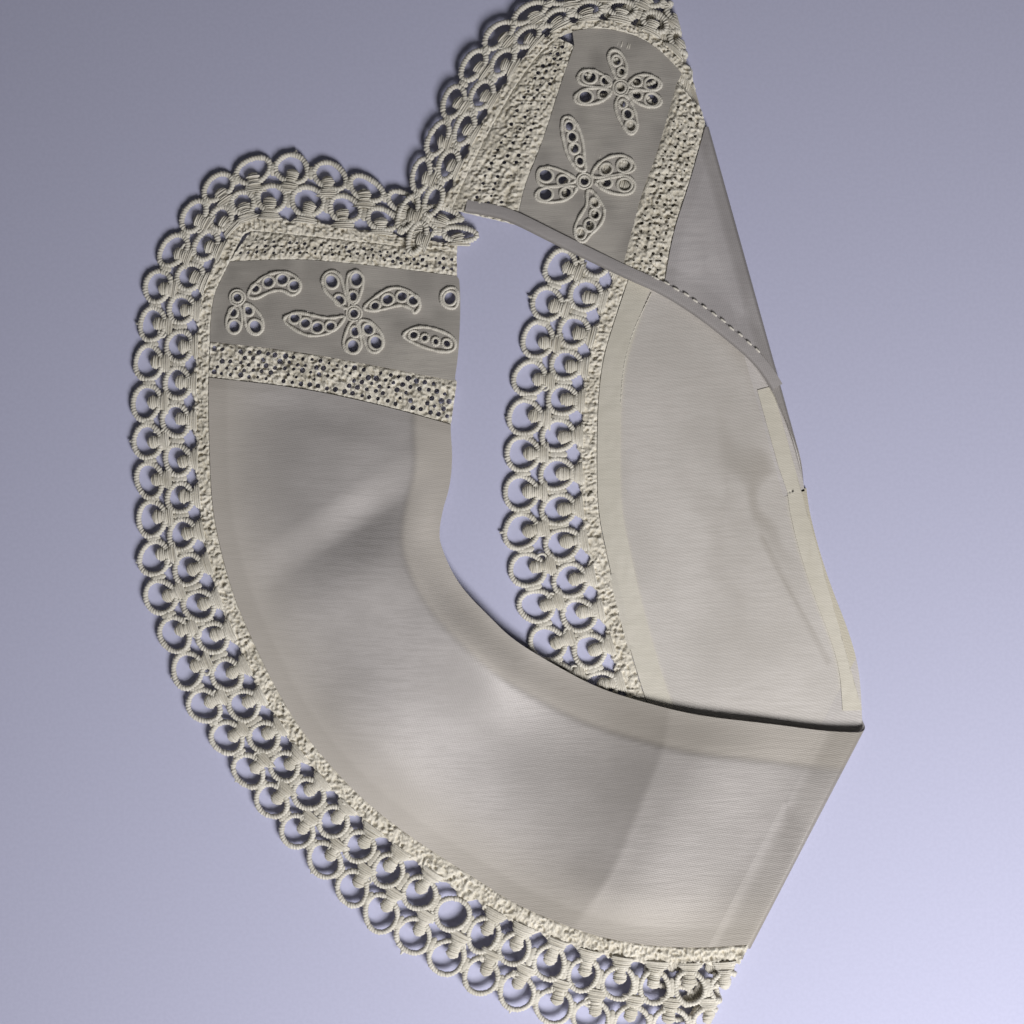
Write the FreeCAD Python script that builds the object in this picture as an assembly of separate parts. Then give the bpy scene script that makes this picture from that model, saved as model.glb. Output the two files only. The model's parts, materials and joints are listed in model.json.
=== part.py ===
import FreeCAD, Part
import math
import os

os.makedirs("parts", exist_ok=True)
V = FreeCAD.Vector

# A detachable dress collar laid on a table: its back section lies reverse side
# up, and its two front sections are turned over on top of it, face up.
# All lengths are millimetres, in the laid pose, with +Z up from the table.

# ---- cloth and trim, millimetres ----
CLOTH_T = 0.35            # one layer of satin organza, with its seam filling
LAYER_GAP = 0.1           # air between two layers of the same section
TAPE_T = 0.2              # facing strips and seam tape
EDGING_T = 1.2            # corded lace edging
INSERTION_T = 0.8         # knotted lace insertion
PANEL_T = 0.5             # embroidered organza panel
STITCH_T = 0.4            # satin-stitched motif standing on the panel
EDGING_W = 30.7           # edging laid flat, seam to scallop tip
RING_PITCH = 12.0         # one lace ring to the next, along the outer row
RING_HOLE_R = 4.2         # the open middle of a ring
OUTER_ROW = 0.80          # outer row's ring centres, as a share of the width
INNER_ROW = 0.42          # inner row's ring centres, likewise
FACING_W = 11.0           # neck facing on the turned sections
BACK_FACING_W = 6.0       # neck facing on the back section
SEAM_TAPE_W = 7.0         # tape that covers the back seam
MESH_HOLE_R = 0.8         # hole in the knotted insertion
MESH_PITCH = 3.4
EYELET_R = 1.35           # worked eyelet in a motif
PETAL_R = 2.9             # satin stitch around an eyelet
FOLD_GAP = 0.5            # cloth ends this far from each fold line

# ---- heights above the table, millimetres ----
BACK_FACE_Z = 0.0
RIGHT_BASE_Z = 1.6        # underside of the right front section
LEFT_BASE_Z = 2.6         # underside of the left front section at its fold
LEFT_DROP_DEG = 0.55     # it slopes from the fold down to the table
FOLD_LEFT_Z = 1.85
FOLD_RIGHT_Z = 1.4

# ---- outlines in plan, millimetres ----
LEFT_NECK = [(-11.9, 92.4), (-10.4, 87.4), (-11.6, 77.8), (-10.7, 67.9), (-11.3, 50.8), (-12.9, 40.9), (-14.1, 28.8), (-13.2, 18.6), (-14.1, 9.0), (-16.3, 2.5), (-17.5, -5.6), (-16.3, -10.2), (-13.2, -17.4), (-8.8, -23.6), (-1.7, -30.7), (5.1, -37.5), (17.2, -45.0), (31.5, -52.7), (45.7, -57.0), (61.8, -61.1), (84.2, -63.5), (102.1, -66.0), (114.2, -66.3)]
LEFT_SEAM = [(-78.3, 87.7), (-80.4, 82.5), (-84.2, 75.0), (-87.9, 67.3), (-88.8, 42.5), (-88.2, 14.9), (-87.3, 1.6), (-84.8, -10.5), (-80.8, -24.8), (-74.6, -39.1), (-68.7, -51.1), (-60.6, -65.1), (-49.4, -78.4), (-39.2, -88.7), (-26.2, -98.6), (-13.8, -106.6), (-3.9, -112.8), (5.1, -118.7), (17.2, -124.0), (30.5, -129.0), (45.7, -131.8), (61.8, -132.7), (82.0, -131.1)]
LEFT_FRONT = [(-11.9, 81.8), (-29.6, 83.7), (-51.3, 86.2), (-66.8, 87.7), (-75.5, 88.7)]
LEFT_PANEL_FRONT = [(-82.3, 79.0), (-60.6, 80.0), (-35.8, 77.5), (-11.9, 74.4)]
LEFT_PANEL_REAR = [(-88.2, 54.2), (-60.6, 51.1), (-35.8, 46.5), (-11.9, 41.9)]
LEFT_BODY_FRONT = [(-88.5, 43.1), (-60.6, 40.0), (-35.8, 34.7), (-13.8, 28.5)]
BACK_SEAM = [(61.2, 146.3), (57.2, 130.8), (52.5, 110.7), (46.3, 89.0), (40.5, 71.3), (36.4, 59.2), (33.3, 49.0), (31.8, 35.6), (31.5, 18.6), (31.8, 1.6), (34.6, -11.5), (37.7, -25.7), (42.0, -41.9), (46.7, -57.0), (60.3, -93.9), (77.3, -135.8)]
BACK_NECK = [(96.3, 9.0), (97.2, 1.6), (100.3, -10.5), (104.3, -22.6), (109.3, -35.0), (112.4, -45.9), (113.3, -56.1), (113.6, -66.3)]
RIGHT_NECK = [(-13.5, 94.9), (-0.8, 92.7), (5.1, 90.8), (17.2, 84.6), (29.3, 78.7), (40.5, 73.5), (50.7, 69.1), (61.8, 62.0), (71.8, 54.2), (80.1, 47.1), (86.0, 38.1), (90.1, 29.1), (94.1, 17.7)]
RIGHT_FRONT = [(-13.5, 94.9), (-7.9, 107.6), (-1.1, 120.6), (5.4, 131.8), (12.2, 141.7), (18.8, 147.9)]
RIGHT_SEAM = [(23.4, 149.7), (30.5, 151.0), (40.5, 149.7), (49.4, 145.4), (57.2, 137.3), (64.0, 128.0)]
RIGHT_PANEL_FRONT = [(24.3, 145.4), (20.3, 133.9), (16.3, 120.9), (12.2, 109.7), (9.1, 102.6), (6.4, 90.2)]
RIGHT_PANEL_REAR = [(56.0, 133.9), (49.8, 111.6), (45.7, 101.7), (42.6, 90.5), (38.6, 74.4)]
RIGHT_BODY_FRONT = [(65.6, 123.7), (61.8, 109.7), (58.7, 99.5), (54.7, 87.4), (51.6, 68.8)]
FOLD_LEFT = [(113.0, -67.0), (63.4, -162.1)]
FOLD_RIGHT = [(54.7, 160.3), (96.9, 8.4)]
LEFT_TUCK = [(-34.6, 123.1), (-32.1, 96.7), (-29.6, 92.4), (-4.8, 92.4), (-4.8, 123.1)]
MOTIF_A = [(-43.9, 62.9), (-50.7, 72.8), (-48.2, 67.0), (-43.2, 73.5), (-43.9, 68.2), (-43.9, 52.7), (-43.6, 57.4), (-37.0, 53.6), (-39.5, 58.3), (-37.4, 65.4), (-33.3, 67.3), (-29.0, 68.5), (-25.3, 67.0), (-50.7, 58.6), (-55.0, 58.6), (-58.4, 60.1), (-62.2, 61.4)]
MOTIF_B = [(-79.8, 67.9), (-74.2, 71.0), (-70.2, 73.2), (-66.2, 74.1), (-62.2, 71.9), (-80.8, 63.2), (-76.4, 64.2), (-80.8, 59.2), (-74.2, 58.6)]
MOTIF_C = [(-25.3, 56.4), (-21.5, 55.8), (-18.1, 54.6), (-14.7, 54.2)]
MOTIF_D = [(27.7, 103.5), (23.1, 105.1), (17.8, 104.5), (21.9, 100.4), (16.6, 99.5), (33.0, 106.0), (38.0, 108.2), (33.6, 102.0), (39.2, 102.6), (28.7, 108.8), (27.4, 113.2), (25.6, 116.9), (23.7, 120.0), (28.7, 98.3), (29.9, 94.5), (31.2, 91.5), (30.5, 87.7)]
MOTIF_E = [(38.6, 132.4), (34.3, 134.2), (29.3, 135.5), (32.4, 130.5), (27.4, 129.9), (43.6, 134.2), (47.9, 133.0), (42.9, 130.2), (47.9, 129.0), (39.2, 136.7), (38.0, 140.4), (39.2, 127.7), (41.1, 124.3), (41.7, 120.6)]
LEFT_TIPS = [(-7.9, 94.5), (-17.2, 96.4), (-25.0, 98.9), (-31.2, 102.0), (-38.3, 105.1), (-48.2, 109.7), (-59.1, 113.2), (-70.2, 114.1), (-80.8, 109.7), (-90.4, 101.7), (-99.0, 92.4), (-107.1, 78.4), (-110.5, 69.1), (-111.1, 53.9), (-112.7, 40.9), (-113.6, 28.8), (-112.1, 15.5), (-110.8, 5.3), (-111.8, -4.3), (-110.2, -21.7), (-106.5, -33.8), (-101.5, -44.0), (-96.9, -60.1), (-88.8, -69.4), (-80.8, -80.3), (-71.1, -95.2), (-60.6, -105.7), (-49.8, -116.9), (-36.1, -129.9), (-25.0, -137.0), (-11.9, -145.1), (1.4, -151.3), (20.0, -158.4), (38.6, -162.1), (60.3, -162.8), (82.0, -162.1)]
BACK_TIPS = [(32.4, 169.6), (31.8, 154.7), (23.1, 119.0), (18.8, 95.2), (15.7, 80.3), (11.3, 72.2), (8.2, 59.2), (5.7, 46.8), (2.9, 27.0), (1.4, 11.5), (1.4, -7.1), (5.1, -25.7), (10.7, -41.2), (17.2, -66.0), (31.5, -104.8), (48.5, -146.6), (57.2, -168.3)]
RIGHT_TIPS = [(-29.6, 93.6), (-27.4, 99.8), (-25.6, 109.1), (-22.2, 115.3), (-18.1, 123.7), (-15.7, 132.4), (-7.9, 144.8), (1.4, 154.1), (13.8, 160.3), (26.2, 165.2), (38.6, 167.1), (49.4, 164.0), (60.3, 157.2), (75.8, 141.7)]

# ---- which way is inward for each rail, and the lean's turn ----
BACK_IN = -1
BACK_NECK_IN = 1
LEFT_NECK_IN = 1
LEFT_OUT = 1
RIGHT_NECK_IN = -1
RIGHT_OUT = -1
DROP_SIGN = 1


def length(pts):
    return sum(math.dist(a, b) for a, b in zip(pts, pts[1:]))


def smooth(pts, passes=2):
    """Round a rail off by corner cutting, keeping its two ends."""
    for _ in range(passes):
        out = [pts[0]]
        for a, b in zip(pts, pts[1:]):
            out.append((0.75 * a[0] + 0.25 * b[0], 0.75 * a[1] + 0.25 * b[1]))
            out.append((0.25 * a[0] + 0.75 * b[0], 0.25 * a[1] + 0.75 * b[1]))
        out.append(pts[-1])
        pts = out
    return pts


def resample(pts, n):
    total = length(pts)
    out, i, run = [], 0, 0.0
    for k in range(n + 1):
        want = total * k / n
        while i < len(pts) - 2 and run + math.dist(pts[i], pts[i + 1]) < want:
            run += math.dist(pts[i], pts[i + 1])
            i += 1
        step = math.dist(pts[i], pts[i + 1]) or 1.0
        t = min(1.0, (want - run) / step)
        a, b = pts[i], pts[i + 1]
        out.append((a[0] + (b[0] - a[0]) * t, a[1] + (b[1] - a[1]) * t))
    return out


def normals(pts, side):
    out = []
    for i in range(len(pts)):
        a, b = pts[max(0, i - 2)], pts[min(len(pts) - 1, i + 2)]
        d = math.dist(a, b)
        out.append((side * (b[1] - a[1]) / d, -side * (b[0] - a[0]) / d))
    return out


def offset(pts, width, side):
    ns = normals(pts, side)
    return [(p[0] + n[0] * width, p[1] + n[1] * width) for p, n in zip(pts, ns)]


def wire(pts, z=0.0):
    vs = [V(p[0], p[1], z) for p in pts]
    return Part.makePolygon(vs + [vs[0]])


def ngon(c, r, n, turn=0.0):
    return [(c[0] + r * math.cos(turn + 2 * math.pi * k / n), c[1] + r * math.sin(turn + 2 * math.pi * k / n)) for k in range(n)]


def plate(outer, z, t, holes=()):
    wires = [wire(outer, z)] + [wire(h, z) for h in holes]
    return Part.makeFace(wires, "Part::FaceMakerBullseye").extrude(V(0, 0, t))


def largest(shape):
    return max(shape.Solids, key=lambda s: s.Volume)


def half_plane(fold, standoff):
    """Everything on the collar's side of a fold line, as a tall prism."""
    (x0, y0), (x1, y1) = fold
    d = math.dist(*fold)
    ux, uy = (x1 - x0) / d, (y1 - y0) / d
    nx, ny = -uy, ux
    if nx > 0:
        nx, ny = -nx, -ny
    a = (x0 - ux * 400 + nx * standoff, y0 - uy * 400 + ny * standoff)
    b = (x1 + ux * 400 + nx * standoff, y1 + uy * 400 + ny * standoff)
    return plate([a, b, (b[0] + nx * 600, b[1] + ny * 600), (a[0] + nx * 600, a[1] + ny * 600)], -20, 60)


def band(rail_a, rail_b, z, t, holes=()):
    return plate(list(rail_a) + list(reversed(rail_b)), z, t, holes)


def inside(p, poly):
    hit = False
    for a, b in zip(poly, poly[1:] + poly[:1]):
        if (a[1] > p[1]) != (b[1] > p[1]) and p[0] < (b[0] - a[0]) * (p[1] - a[1]) / (b[1] - a[1]) + a[0]:
            hit = not hit
    return hit


def clear_of(p, poly, r):
    if not inside(p, poly):
        return False
    for a, b in zip(poly, poly[1:] + poly[:1]):
        d = math.dist(a, b)
        if d < 1e-6:
            continue
        t = max(0.0, min(1.0, ((p[0] - a[0]) * (b[0] - a[0]) + (p[1] - a[1]) * (b[1] - a[1])) / d / d))
        if math.dist(p, (a[0] + (b[0] - a[0]) * t, a[1] + (b[1] - a[1]) * t)) < r:
            return False
    return True


def ray_to(p, n, line):
    """Distance from p along n to a polyline, or None."""
    best = None
    for a, b in zip(line, line[1:]):
        ex, ey = b[0] - a[0], b[1] - a[1]
        det = n[0] * -ey + n[1] * ex
        if abs(det) < 1e-9:
            continue
        rx, ry = a[0] - p[0], a[1] - p[1]
        t = (rx * -ey + ry * ex) / det
        u = (n[0] * ry - n[1] * rx) / det
        if t > 2 and -1e-6 <= u <= 1 + 1e-6 and (best is None or t < best):
            best = t
    return best


def edging(rail, side, z, tips):
    """Two staggered rows of rings in one scalloped band, open in each ring."""
    rail = resample(rail, max(40, int(length(rail) / 1.5)))
    ns = normals(rail, side)
    wide = [ray_to(p, n, tips) for p, n in zip(rail, ns)]
    wide = [EDGING_W if w is None else min(w, EDGING_W * 1.12) for w in wide]
    for _ in range(6):
        wide = [wide[0]] + [(a + b + c) / 3 for a, b, c in zip(wide, wide[1:], wide[2:])] + [wide[-1]]
    row = [(p[0] + n[0] * w * OUTER_ROW, p[1] + n[1] * w * OUTER_ROW) for p, n, w in zip(rail, ns, wide)]
    count = max(3, round(length(row) / RING_PITCH))
    run = [0.0]
    for a, b in zip(row, row[1:]):
        run.append(run[-1] + math.dist(a, b))

    def at(f, v):
        want = min(max(f, 0.0), 1.0) * run[-1]
        i = min(max(k for k in range(len(run)) if run[k] <= want + 1e-9), len(run) - 2)
        t = (want - run[i]) / (run[i + 1] - run[i])
        mix = lambda a, b: a + (b - a) * t
        nx, ny = mix(ns[i][0], ns[i + 1][0]), mix(ns[i][1], ns[i + 1][1])
        d = math.hypot(nx, ny)
        w = mix(wide[i], wide[i + 1]) * v
        return (mix(rail[i][0], rail[i + 1][0]) + nx / d * w, mix(rail[i][1], rail[i + 1][1]) + ny / d * w)

    outline = offset(rail, 0.4, side)
    scallops = []
    for i in range(count):
        for k in range(9):
            bulge = math.sqrt(max(0.0, 1 - (2 * k / 8.0 - 1) ** 2))
            if k < 8 or i == count - 1:
                scallops.append(at((i + k / 8.0) / count, 0.87 + 0.13 * bulge))
    outline += list(reversed(scallops))
    holes = []
    for i in range(count):
        for f, v in (((i + 0.5) / count, OUTER_ROW), (i / count, INNER_ROW)):
            ring = []
            for k in range(10):
                a = 2 * math.pi * k / 10
                ring.append(at(f + RING_HOLE_R * math.cos(a) / run[-1], v + RING_HOLE_R / EDGING_W * math.sin(a)))
            if all(clear_of(p, outline, 0.5) for p in ring):
                holes.append(ring)
    return plate(outline, z, EDGING_T, holes)


def mesh_band(rail_a, rail_b, z, rows):
    """A knotted insertion: a strip with rows of small holes."""
    outline = list(rail_a) + list(reversed(rail_b))
    n = int(max(length(rail_a), length(rail_b)) / MESH_PITCH)
    a, b = resample(rail_a, 2 * n), resample(rail_b, 2 * n)
    holes = []
    for r in rows:
        for k in range(1 + (rows.index(r) % 2), 2 * n, 2):
            c = (a[k][0] + (b[k][0] - a[k][0]) * r, a[k][1] + (b[k][1] - a[k][1]) * r)
            if clear_of(c, outline, MESH_HOLE_R + 0.6):
                holes.append(ngon(c, MESH_HOLE_R, 6))
    return plate(outline, z, INSERTION_T, holes)


def motif(points, z, ground):
    """Satin-stitched flower: worked eyelets in one raised piece."""
    shapes = [plate(ngon(p, PETAL_R, 12, 0.13), z, STITCH_T) for p in points]
    for a, b in zip(points, points[1:]):
        if math.dist(a, b) < 9.5:
            d = math.dist(a, b)
            nx, ny = -(b[1] - a[1]) / d * 0.9, (b[0] - a[0]) / d * 0.9
            shapes.append(plate([(a[0] + nx, a[1] + ny), (b[0] + nx, b[1] + ny), (b[0] - nx, b[1] - ny), (a[0] - nx, a[1] - ny)], z, STITCH_T))
    c = points[0]
    for b in points[1:]:
        if math.dist(c, b) < 8.5:
            d = math.dist(c, b)
            nx, ny = -(b[1] - c[1]) / d * 0.8, (b[0] - c[0]) / d * 0.8
            shapes.append(plate([(c[0] + nx, c[1] + ny), (b[0] + nx, b[1] + ny), (b[0] - nx, b[1] - ny), (c[0] - nx, c[1] - ny)], z, STITCH_T))
    body = shapes[0].multiFuse(shapes[1:])
    eyes = [plate(ngon(p, EYELET_R, 10), z - 5, 10) for p in points]
    body = body.cut(eyes[0].multiFuse(eyes[1:]) if len(eyes) > 1 else eyes[0])
    body = body.common(plate(ground, z - 5, 10))
    return largest(body.removeSplitter())


KEEP_LEFT = half_plane(FOLD_LEFT, FOLD_GAP)
KEEP_RIGHT = half_plane(FOLD_RIGHT, FOLD_GAP)


def drop(shape):
    """Lean the left front section from its fold down to the table."""
    (x0, y0), (x1, y1) = FOLD_LEFT
    d = math.dist(*FOLD_LEFT)
    axis = V((x1 - x0) / d, (y1 - y0) / d, 0)
    moved = shape.copy()
    moved.rotate(V(x0, y0, FOLD_LEFT_Z), axis, LEFT_DROP_DEG * DROP_SIGN)
    return moved


left_neck = smooth(LEFT_NECK)
left_seam = smooth(LEFT_SEAM)
back_seam = smooth(BACK_SEAM)
back_neck = smooth(BACK_NECK)
right_neck = smooth(RIGHT_NECK)
right_seam = smooth(RIGHT_SEAM)
right_front = smooth(RIGHT_FRONT)


def cut_rail(rail, p0, p1):
    """The run of a rail from its point nearest p0 to its point nearest p1."""
    i = min(range(len(rail)), key=lambda k: math.dist(rail[k], p0))
    j = min(range(len(rail)), key=lambda k: math.dist(rail[k], p1))
    run = rail[min(i, j):max(i, j) + 1]
    return run if i <= j else list(reversed(run))


OUT = {}

# ---- back section, reverse side up ----
back_outline = back_seam + [back_neck[-1]] + list(reversed(back_neck)) + [FOLD_RIGHT[1], (FOLD_RIGHT[0][0] + 3.0, FOLD_RIGHT[0][1])]
back_keep = KEEP_LEFT.common(KEEP_RIGHT)


def back_piece(shape):
    return largest(shape.common(back_keep))


z = BACK_FACE_Z
OUT["back_face_cloth"] = back_piece(plate(back_outline, z, CLOTH_T))
z += CLOTH_T + LAYER_GAP
OUT["back_lining_cloth"] = back_piece(plate(back_outline, z, CLOTH_T))
z += CLOTH_T + LAYER_GAP
tape_in = offset(back_seam, SEAM_TAPE_W, BACK_IN)
OUT["back_seam_tape"] = back_piece(band(back_seam, tape_in, z, TAPE_T))
facing_in = offset(back_neck, BACK_FACING_W, BACK_NECK_IN)
OUT["back_neck_facing"] = back_piece(band(back_neck, facing_in, z, TAPE_T))
OUT["back_edging"] = back_piece(edging(back_seam, -BACK_IN, BACK_FACE_Z, BACK_TIPS))

# ---- left front section, face up ----
base = LEFT_BASE_Z
body_front = resample(smooth(LEFT_BODY_FRONT), 30)
panel_front = resample(smooth(LEFT_PANEL_FRONT), 30)
panel_rear = resample(smooth(LEFT_PANEL_REAR), 30)
front_line = resample(smooth(list(reversed(LEFT_FRONT))), 30)
seam_run = cut_rail(left_seam, body_front[0], left_seam[-1])
neck_run = cut_rail(left_neck, body_front[-1], left_neck[-1])
left_body = [body_front[0]] + seam_run[1:] + list(reversed(neck_run[1:])) + list(reversed(body_front))[:-1]


def left_piece(shape):
    return drop(largest(shape.common(KEEP_LEFT)))


facing_off = offset(neck_run, FACING_W, LEFT_NECK_IN)
OUT["left_neck_facing"] = left_piece(band(neck_run, facing_off, base, TAPE_T))
z = base + TAPE_T + LAYER_GAP
OUT["left_lining_cloth"] = left_piece(plate(left_body, z, CLOTH_T))
z += CLOTH_T + LAYER_GAP
OUT["left_face_cloth"] = left_piece(plate(left_body, z, CLOTH_T))


def cross_band(front, rear, seam, neck):
    l = cut_rail(seam, front[0], rear[0])[1:-1]
    r = cut_rail(neck, front[-1], rear[-1])[1:-1]
    return list(front) + r + list(reversed(rear)) + list(reversed(l))


def nudge(rail, dy):
    return [(p[0], p[1] + dy) for p in rail]


mz = base + 0.2
rear_a, rear_b = nudge(panel_rear, -0.2), nudge(body_front, 0.2)
OUT["left_rear_insertion"] = left_piece(mesh_band(rear_a, rear_b, mz, [0.3, 0.5, 0.7]))
front_a, front_b = nudge(front_line, -0.3), nudge(panel_front, 0.2)
OUT["left_front_insertion"] = left_piece(mesh_band(front_a, front_b, mz, [0.5]))
panel_z = base + 0.3
left_ground = list(panel_front) + list(reversed(panel_rear))
eyes_a = [ngon(p, EYELET_R, 10) for p in MOTIF_A + MOTIF_B + MOTIF_C if clear_of(p, left_ground, EYELET_R + 0.4)]
OUT["left_panel"] = left_piece(plate(left_ground, panel_z, PANEL_T, eyes_a))
OUT["left_motif_middle"] = left_piece(motif(MOTIF_A, panel_z + PANEL_T + 0.05, left_ground))
OUT["left_motif_outer"] = left_piece(motif(MOTIF_B, panel_z + PANEL_T + 0.05, left_ground))
OUT["left_motif_neck"] = left_piece(motif(MOTIF_C, panel_z + PANEL_T + 0.05, left_ground))
left_edge = smooth(list(LEFT_FRONT) + list(LEFT_SEAM), 3)
tuck = plate(LEFT_TUCK, base - 5, 12)
OUT["left_edging"] = left_piece(edging(left_edge, LEFT_OUT, base, LEFT_TIPS).cut(tuck))

# ---- right front section, face up ----
base = RIGHT_BASE_Z
r_front = resample(smooth(RIGHT_FRONT), 30)
r_panel_front = resample(smooth(RIGHT_PANEL_FRONT), 30)
r_panel_rear = resample(smooth(RIGHT_PANEL_REAR), 30)
r_body_front = resample(smooth(RIGHT_BODY_FRONT), 30)


def right_piece(shape):
    return largest(shape.common(KEEP_RIGHT))


r_neck_run = cut_rail(right_neck, r_body_front[-1], right_neck[-1])
r_seam_run = cut_rail(right_seam, r_body_front[0], right_seam[-1])
right_body = r_body_front + r_neck_run[1:] + [FOLD_RIGHT[1]] + [right_seam[-1]]
r_facing = offset(r_neck_run, 3.8, RIGHT_NECK_IN)
OUT["right_neck_facing"] = right_piece(band(r_neck_run, r_facing, base, TAPE_T))
z = base + TAPE_T + LAYER_GAP
OUT["right_lining_cloth"] = right_piece(plate(right_body, z, CLOTH_T))
z += CLOTH_T + LAYER_GAP
OUT["right_face_cloth"] = right_piece(plate(right_body, z, CLOTH_T))


def slide_x(rail, dx):
    return [(p[0] + dx, p[1]) for p in rail]


mz = base + 0.2
OUT["right_rear_insertion"] = right_piece(mesh_band(slide_x(r_panel_rear, 0.2), slide_x(r_body_front, -0.2), mz, [0.3, 0.5, 0.7]))
OUT["right_front_insertion"] = right_piece(mesh_band(slide_x(list(r_front)[::-1], 0.6), slide_x(r_panel_front, -0.2), mz, [0.35, 0.65]))
panel_z = base + 0.3
right_ground = list(r_panel_front) + list(reversed(r_panel_rear))
eyes_b = [ngon(p, EYELET_R, 10) for p in MOTIF_D + MOTIF_E if clear_of(p, right_ground, EYELET_R + 0.4)]
OUT["right_panel"] = right_piece(plate(right_ground, panel_z, PANEL_T, eyes_b))
OUT["right_motif_neck"] = right_piece(motif(MOTIF_D, panel_z + PANEL_T + 0.05, right_ground))
OUT["right_motif_outer"] = right_piece(motif(MOTIF_E, panel_z + PANEL_T + 0.05, right_ground))
right_edge = smooth(list(RIGHT_FRONT) + list(RIGHT_SEAM), 2)
OUT["right_edging"] = right_piece(edging(right_edge, RIGHT_OUT, base, RIGHT_TIPS))

box = None
for name, shape in OUT.items():
    ok = shape.isValid() and shape.ShapeType == "Solid"
    b = shape.BoundBox
    print("%-24s %s vol %.1f x %.2f..%.2f y %.2f..%.2f z %.2f..%.2f" % (name, ok, shape.Volume, b.XMin, b.XMax, b.YMin, b.YMax, b.ZMin, b.ZMax))
    box = b if box is None else box
    box.add(b)
shift = V(-(box.XMin + box.XMax) / 2, -(box.YMin + box.YMax) / 2, -box.ZMin)
print("shift", shift)
print("size", box.XLength, box.YLength, box.ZLength)
for name, shape in OUT.items():
    moved = shape.copy()
    moved.translate(shift)
    moved.exportStep("parts/%s.step" % name)
for name, fold, fz in (("left", FOLD_LEFT, FOLD_LEFT_Z), ("right", FOLD_RIGHT, FOLD_RIGHT_Z)):
    print("fold", name, [(round(p[0] + shift.x, 3), round(p[1] + shift.y, 3), round(fz + shift.z, 3)) for p in fold])
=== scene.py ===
import json
import math

import bpy
import numpy as np
from mathutils.geometry import delaunay_2d_cdt
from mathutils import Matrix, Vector

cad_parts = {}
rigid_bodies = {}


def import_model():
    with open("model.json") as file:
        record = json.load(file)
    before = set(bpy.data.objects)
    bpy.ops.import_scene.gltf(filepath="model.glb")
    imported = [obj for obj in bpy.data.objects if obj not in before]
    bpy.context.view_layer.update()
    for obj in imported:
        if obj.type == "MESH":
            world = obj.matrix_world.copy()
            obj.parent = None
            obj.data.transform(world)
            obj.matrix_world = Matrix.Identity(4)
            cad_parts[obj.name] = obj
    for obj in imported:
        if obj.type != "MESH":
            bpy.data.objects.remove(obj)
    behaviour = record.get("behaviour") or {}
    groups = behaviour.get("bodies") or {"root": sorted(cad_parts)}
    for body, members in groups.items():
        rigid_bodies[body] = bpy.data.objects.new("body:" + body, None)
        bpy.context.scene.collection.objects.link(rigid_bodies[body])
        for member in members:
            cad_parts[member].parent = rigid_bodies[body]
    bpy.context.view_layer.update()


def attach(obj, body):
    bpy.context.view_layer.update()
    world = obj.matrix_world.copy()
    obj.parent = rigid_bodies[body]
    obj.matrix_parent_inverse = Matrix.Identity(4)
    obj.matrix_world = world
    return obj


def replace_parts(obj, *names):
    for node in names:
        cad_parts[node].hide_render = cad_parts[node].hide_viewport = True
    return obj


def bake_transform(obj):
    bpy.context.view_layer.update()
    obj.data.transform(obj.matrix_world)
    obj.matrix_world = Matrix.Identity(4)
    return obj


# A lace-edged dress collar laid on a pale table. Lengths below are millimetres
# in the row frame and are scaled to metres when a mesh is made.

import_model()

FOLD_D = 12.0          # cloth this close to the left fold bends with it
FOLD_D2 = 8.0          # the same at the right fold
LEFT_Z = 2.6           # underside of the left front section at its fold
LEAN = 0.0096          # fall of the left front section, per mm from its fold
RIGHT_Z = 1.6          # underside of the right front section
AXIS_L = 1.85          # height of the left fold's axis
AXIS_R = 1.4
FULL = 30.7            # width of the edging laid flat
PITCH = 12.0           # one outer ring to the next
OUTER, INNER = 0.795, 0.415   # rows of ring centres, as shares of the width


# ---------------------------------------------------------------- shapes to tune

LUMPS = [
    (-12.0, -36.0, 36.0, 17.6, -36.0, 8.8),
    (-38.0, -66.0, 24.0, 24.0, -40.0, 3.4),
    (12.0, -84.0, 24.0, 18.0, -40.0, 1.6),
    (-36.0, -16.0, 29.0, 14.0, 33.0, 3.7),
]
RAMP_W, RAMP_H = 30.0, 1.9
BACK_LUMPS = [(78.0, 20.0, 14.0, 24.0, -14.0, 0.6), (66.0, -30.0, 16.0, 26.0, 10.0, 0.6)]
CREASES = [[(82.1, -8.1), (91.0, -25.0), (102.9, -46.9)]]
BACK_TOPSTITCH = [[(48.3, 68.1), (42.4, 56.0), (39.3, 44.9), (38.4, 31.9)]]
NARROW_TAPE = [(34.7, -19.9), (40.9, -43.1)]

# ---------------------------------------------------------------- colours and light

TONE_BODY, SHADE_BODY = (0.54, 0.508, 0.492), (0.43, 0.404, 0.388)
TONE_PANEL, SHADE_PANEL = (0.46, 0.43, 0.385), (0.35, 0.325, 0.295)
TONE_FLAP, SHADE_FLAP = (0.52, 0.49, 0.485), (0.41, 0.385, 0.385)
TONE_REV, SHADE_REV = (0.575, 0.54, 0.515), (0.47, 0.44, 0.415)
TONE_TAPE, SHADE_TAPE = (0.62, 0.585, 0.515), (0.53, 0.50, 0.43)
WARM, WARM_REV = (0.615, 0.562, 0.485), (0.62, 0.575, 0.47)
LACE_TONE, LACE_SHADE, LACE_HIGHLIGHT = (0.655, 0.615, 0.535), (0.445, 0.41, 0.335), (0.83, 0.80, 0.72)
MESH_TONE, MESH_SHADE = (0.76, 0.71, 0.61), (0.56, 0.515, 0.42)
STITCH_TONE, STITCH_SHADE, STITCH_HIGHLIGHT = (0.62, 0.58, 0.50), (0.39, 0.36, 0.295), (0.82, 0.78, 0.70)
FLOOR_A, FLOOR_B = (0.495, 0.50, 0.655), (0.515, 0.52, 0.68)
WORLD_COLOUR, WORLD = (0.94, 0.95, 1.0), 0.055
LIGHTS = [
    ("window", (0.25, -0.43, 0.44), (0.0, 0.0, 0.0), 0.30, 4.95, (1.0, 0.99, 0.995)),
]

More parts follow.
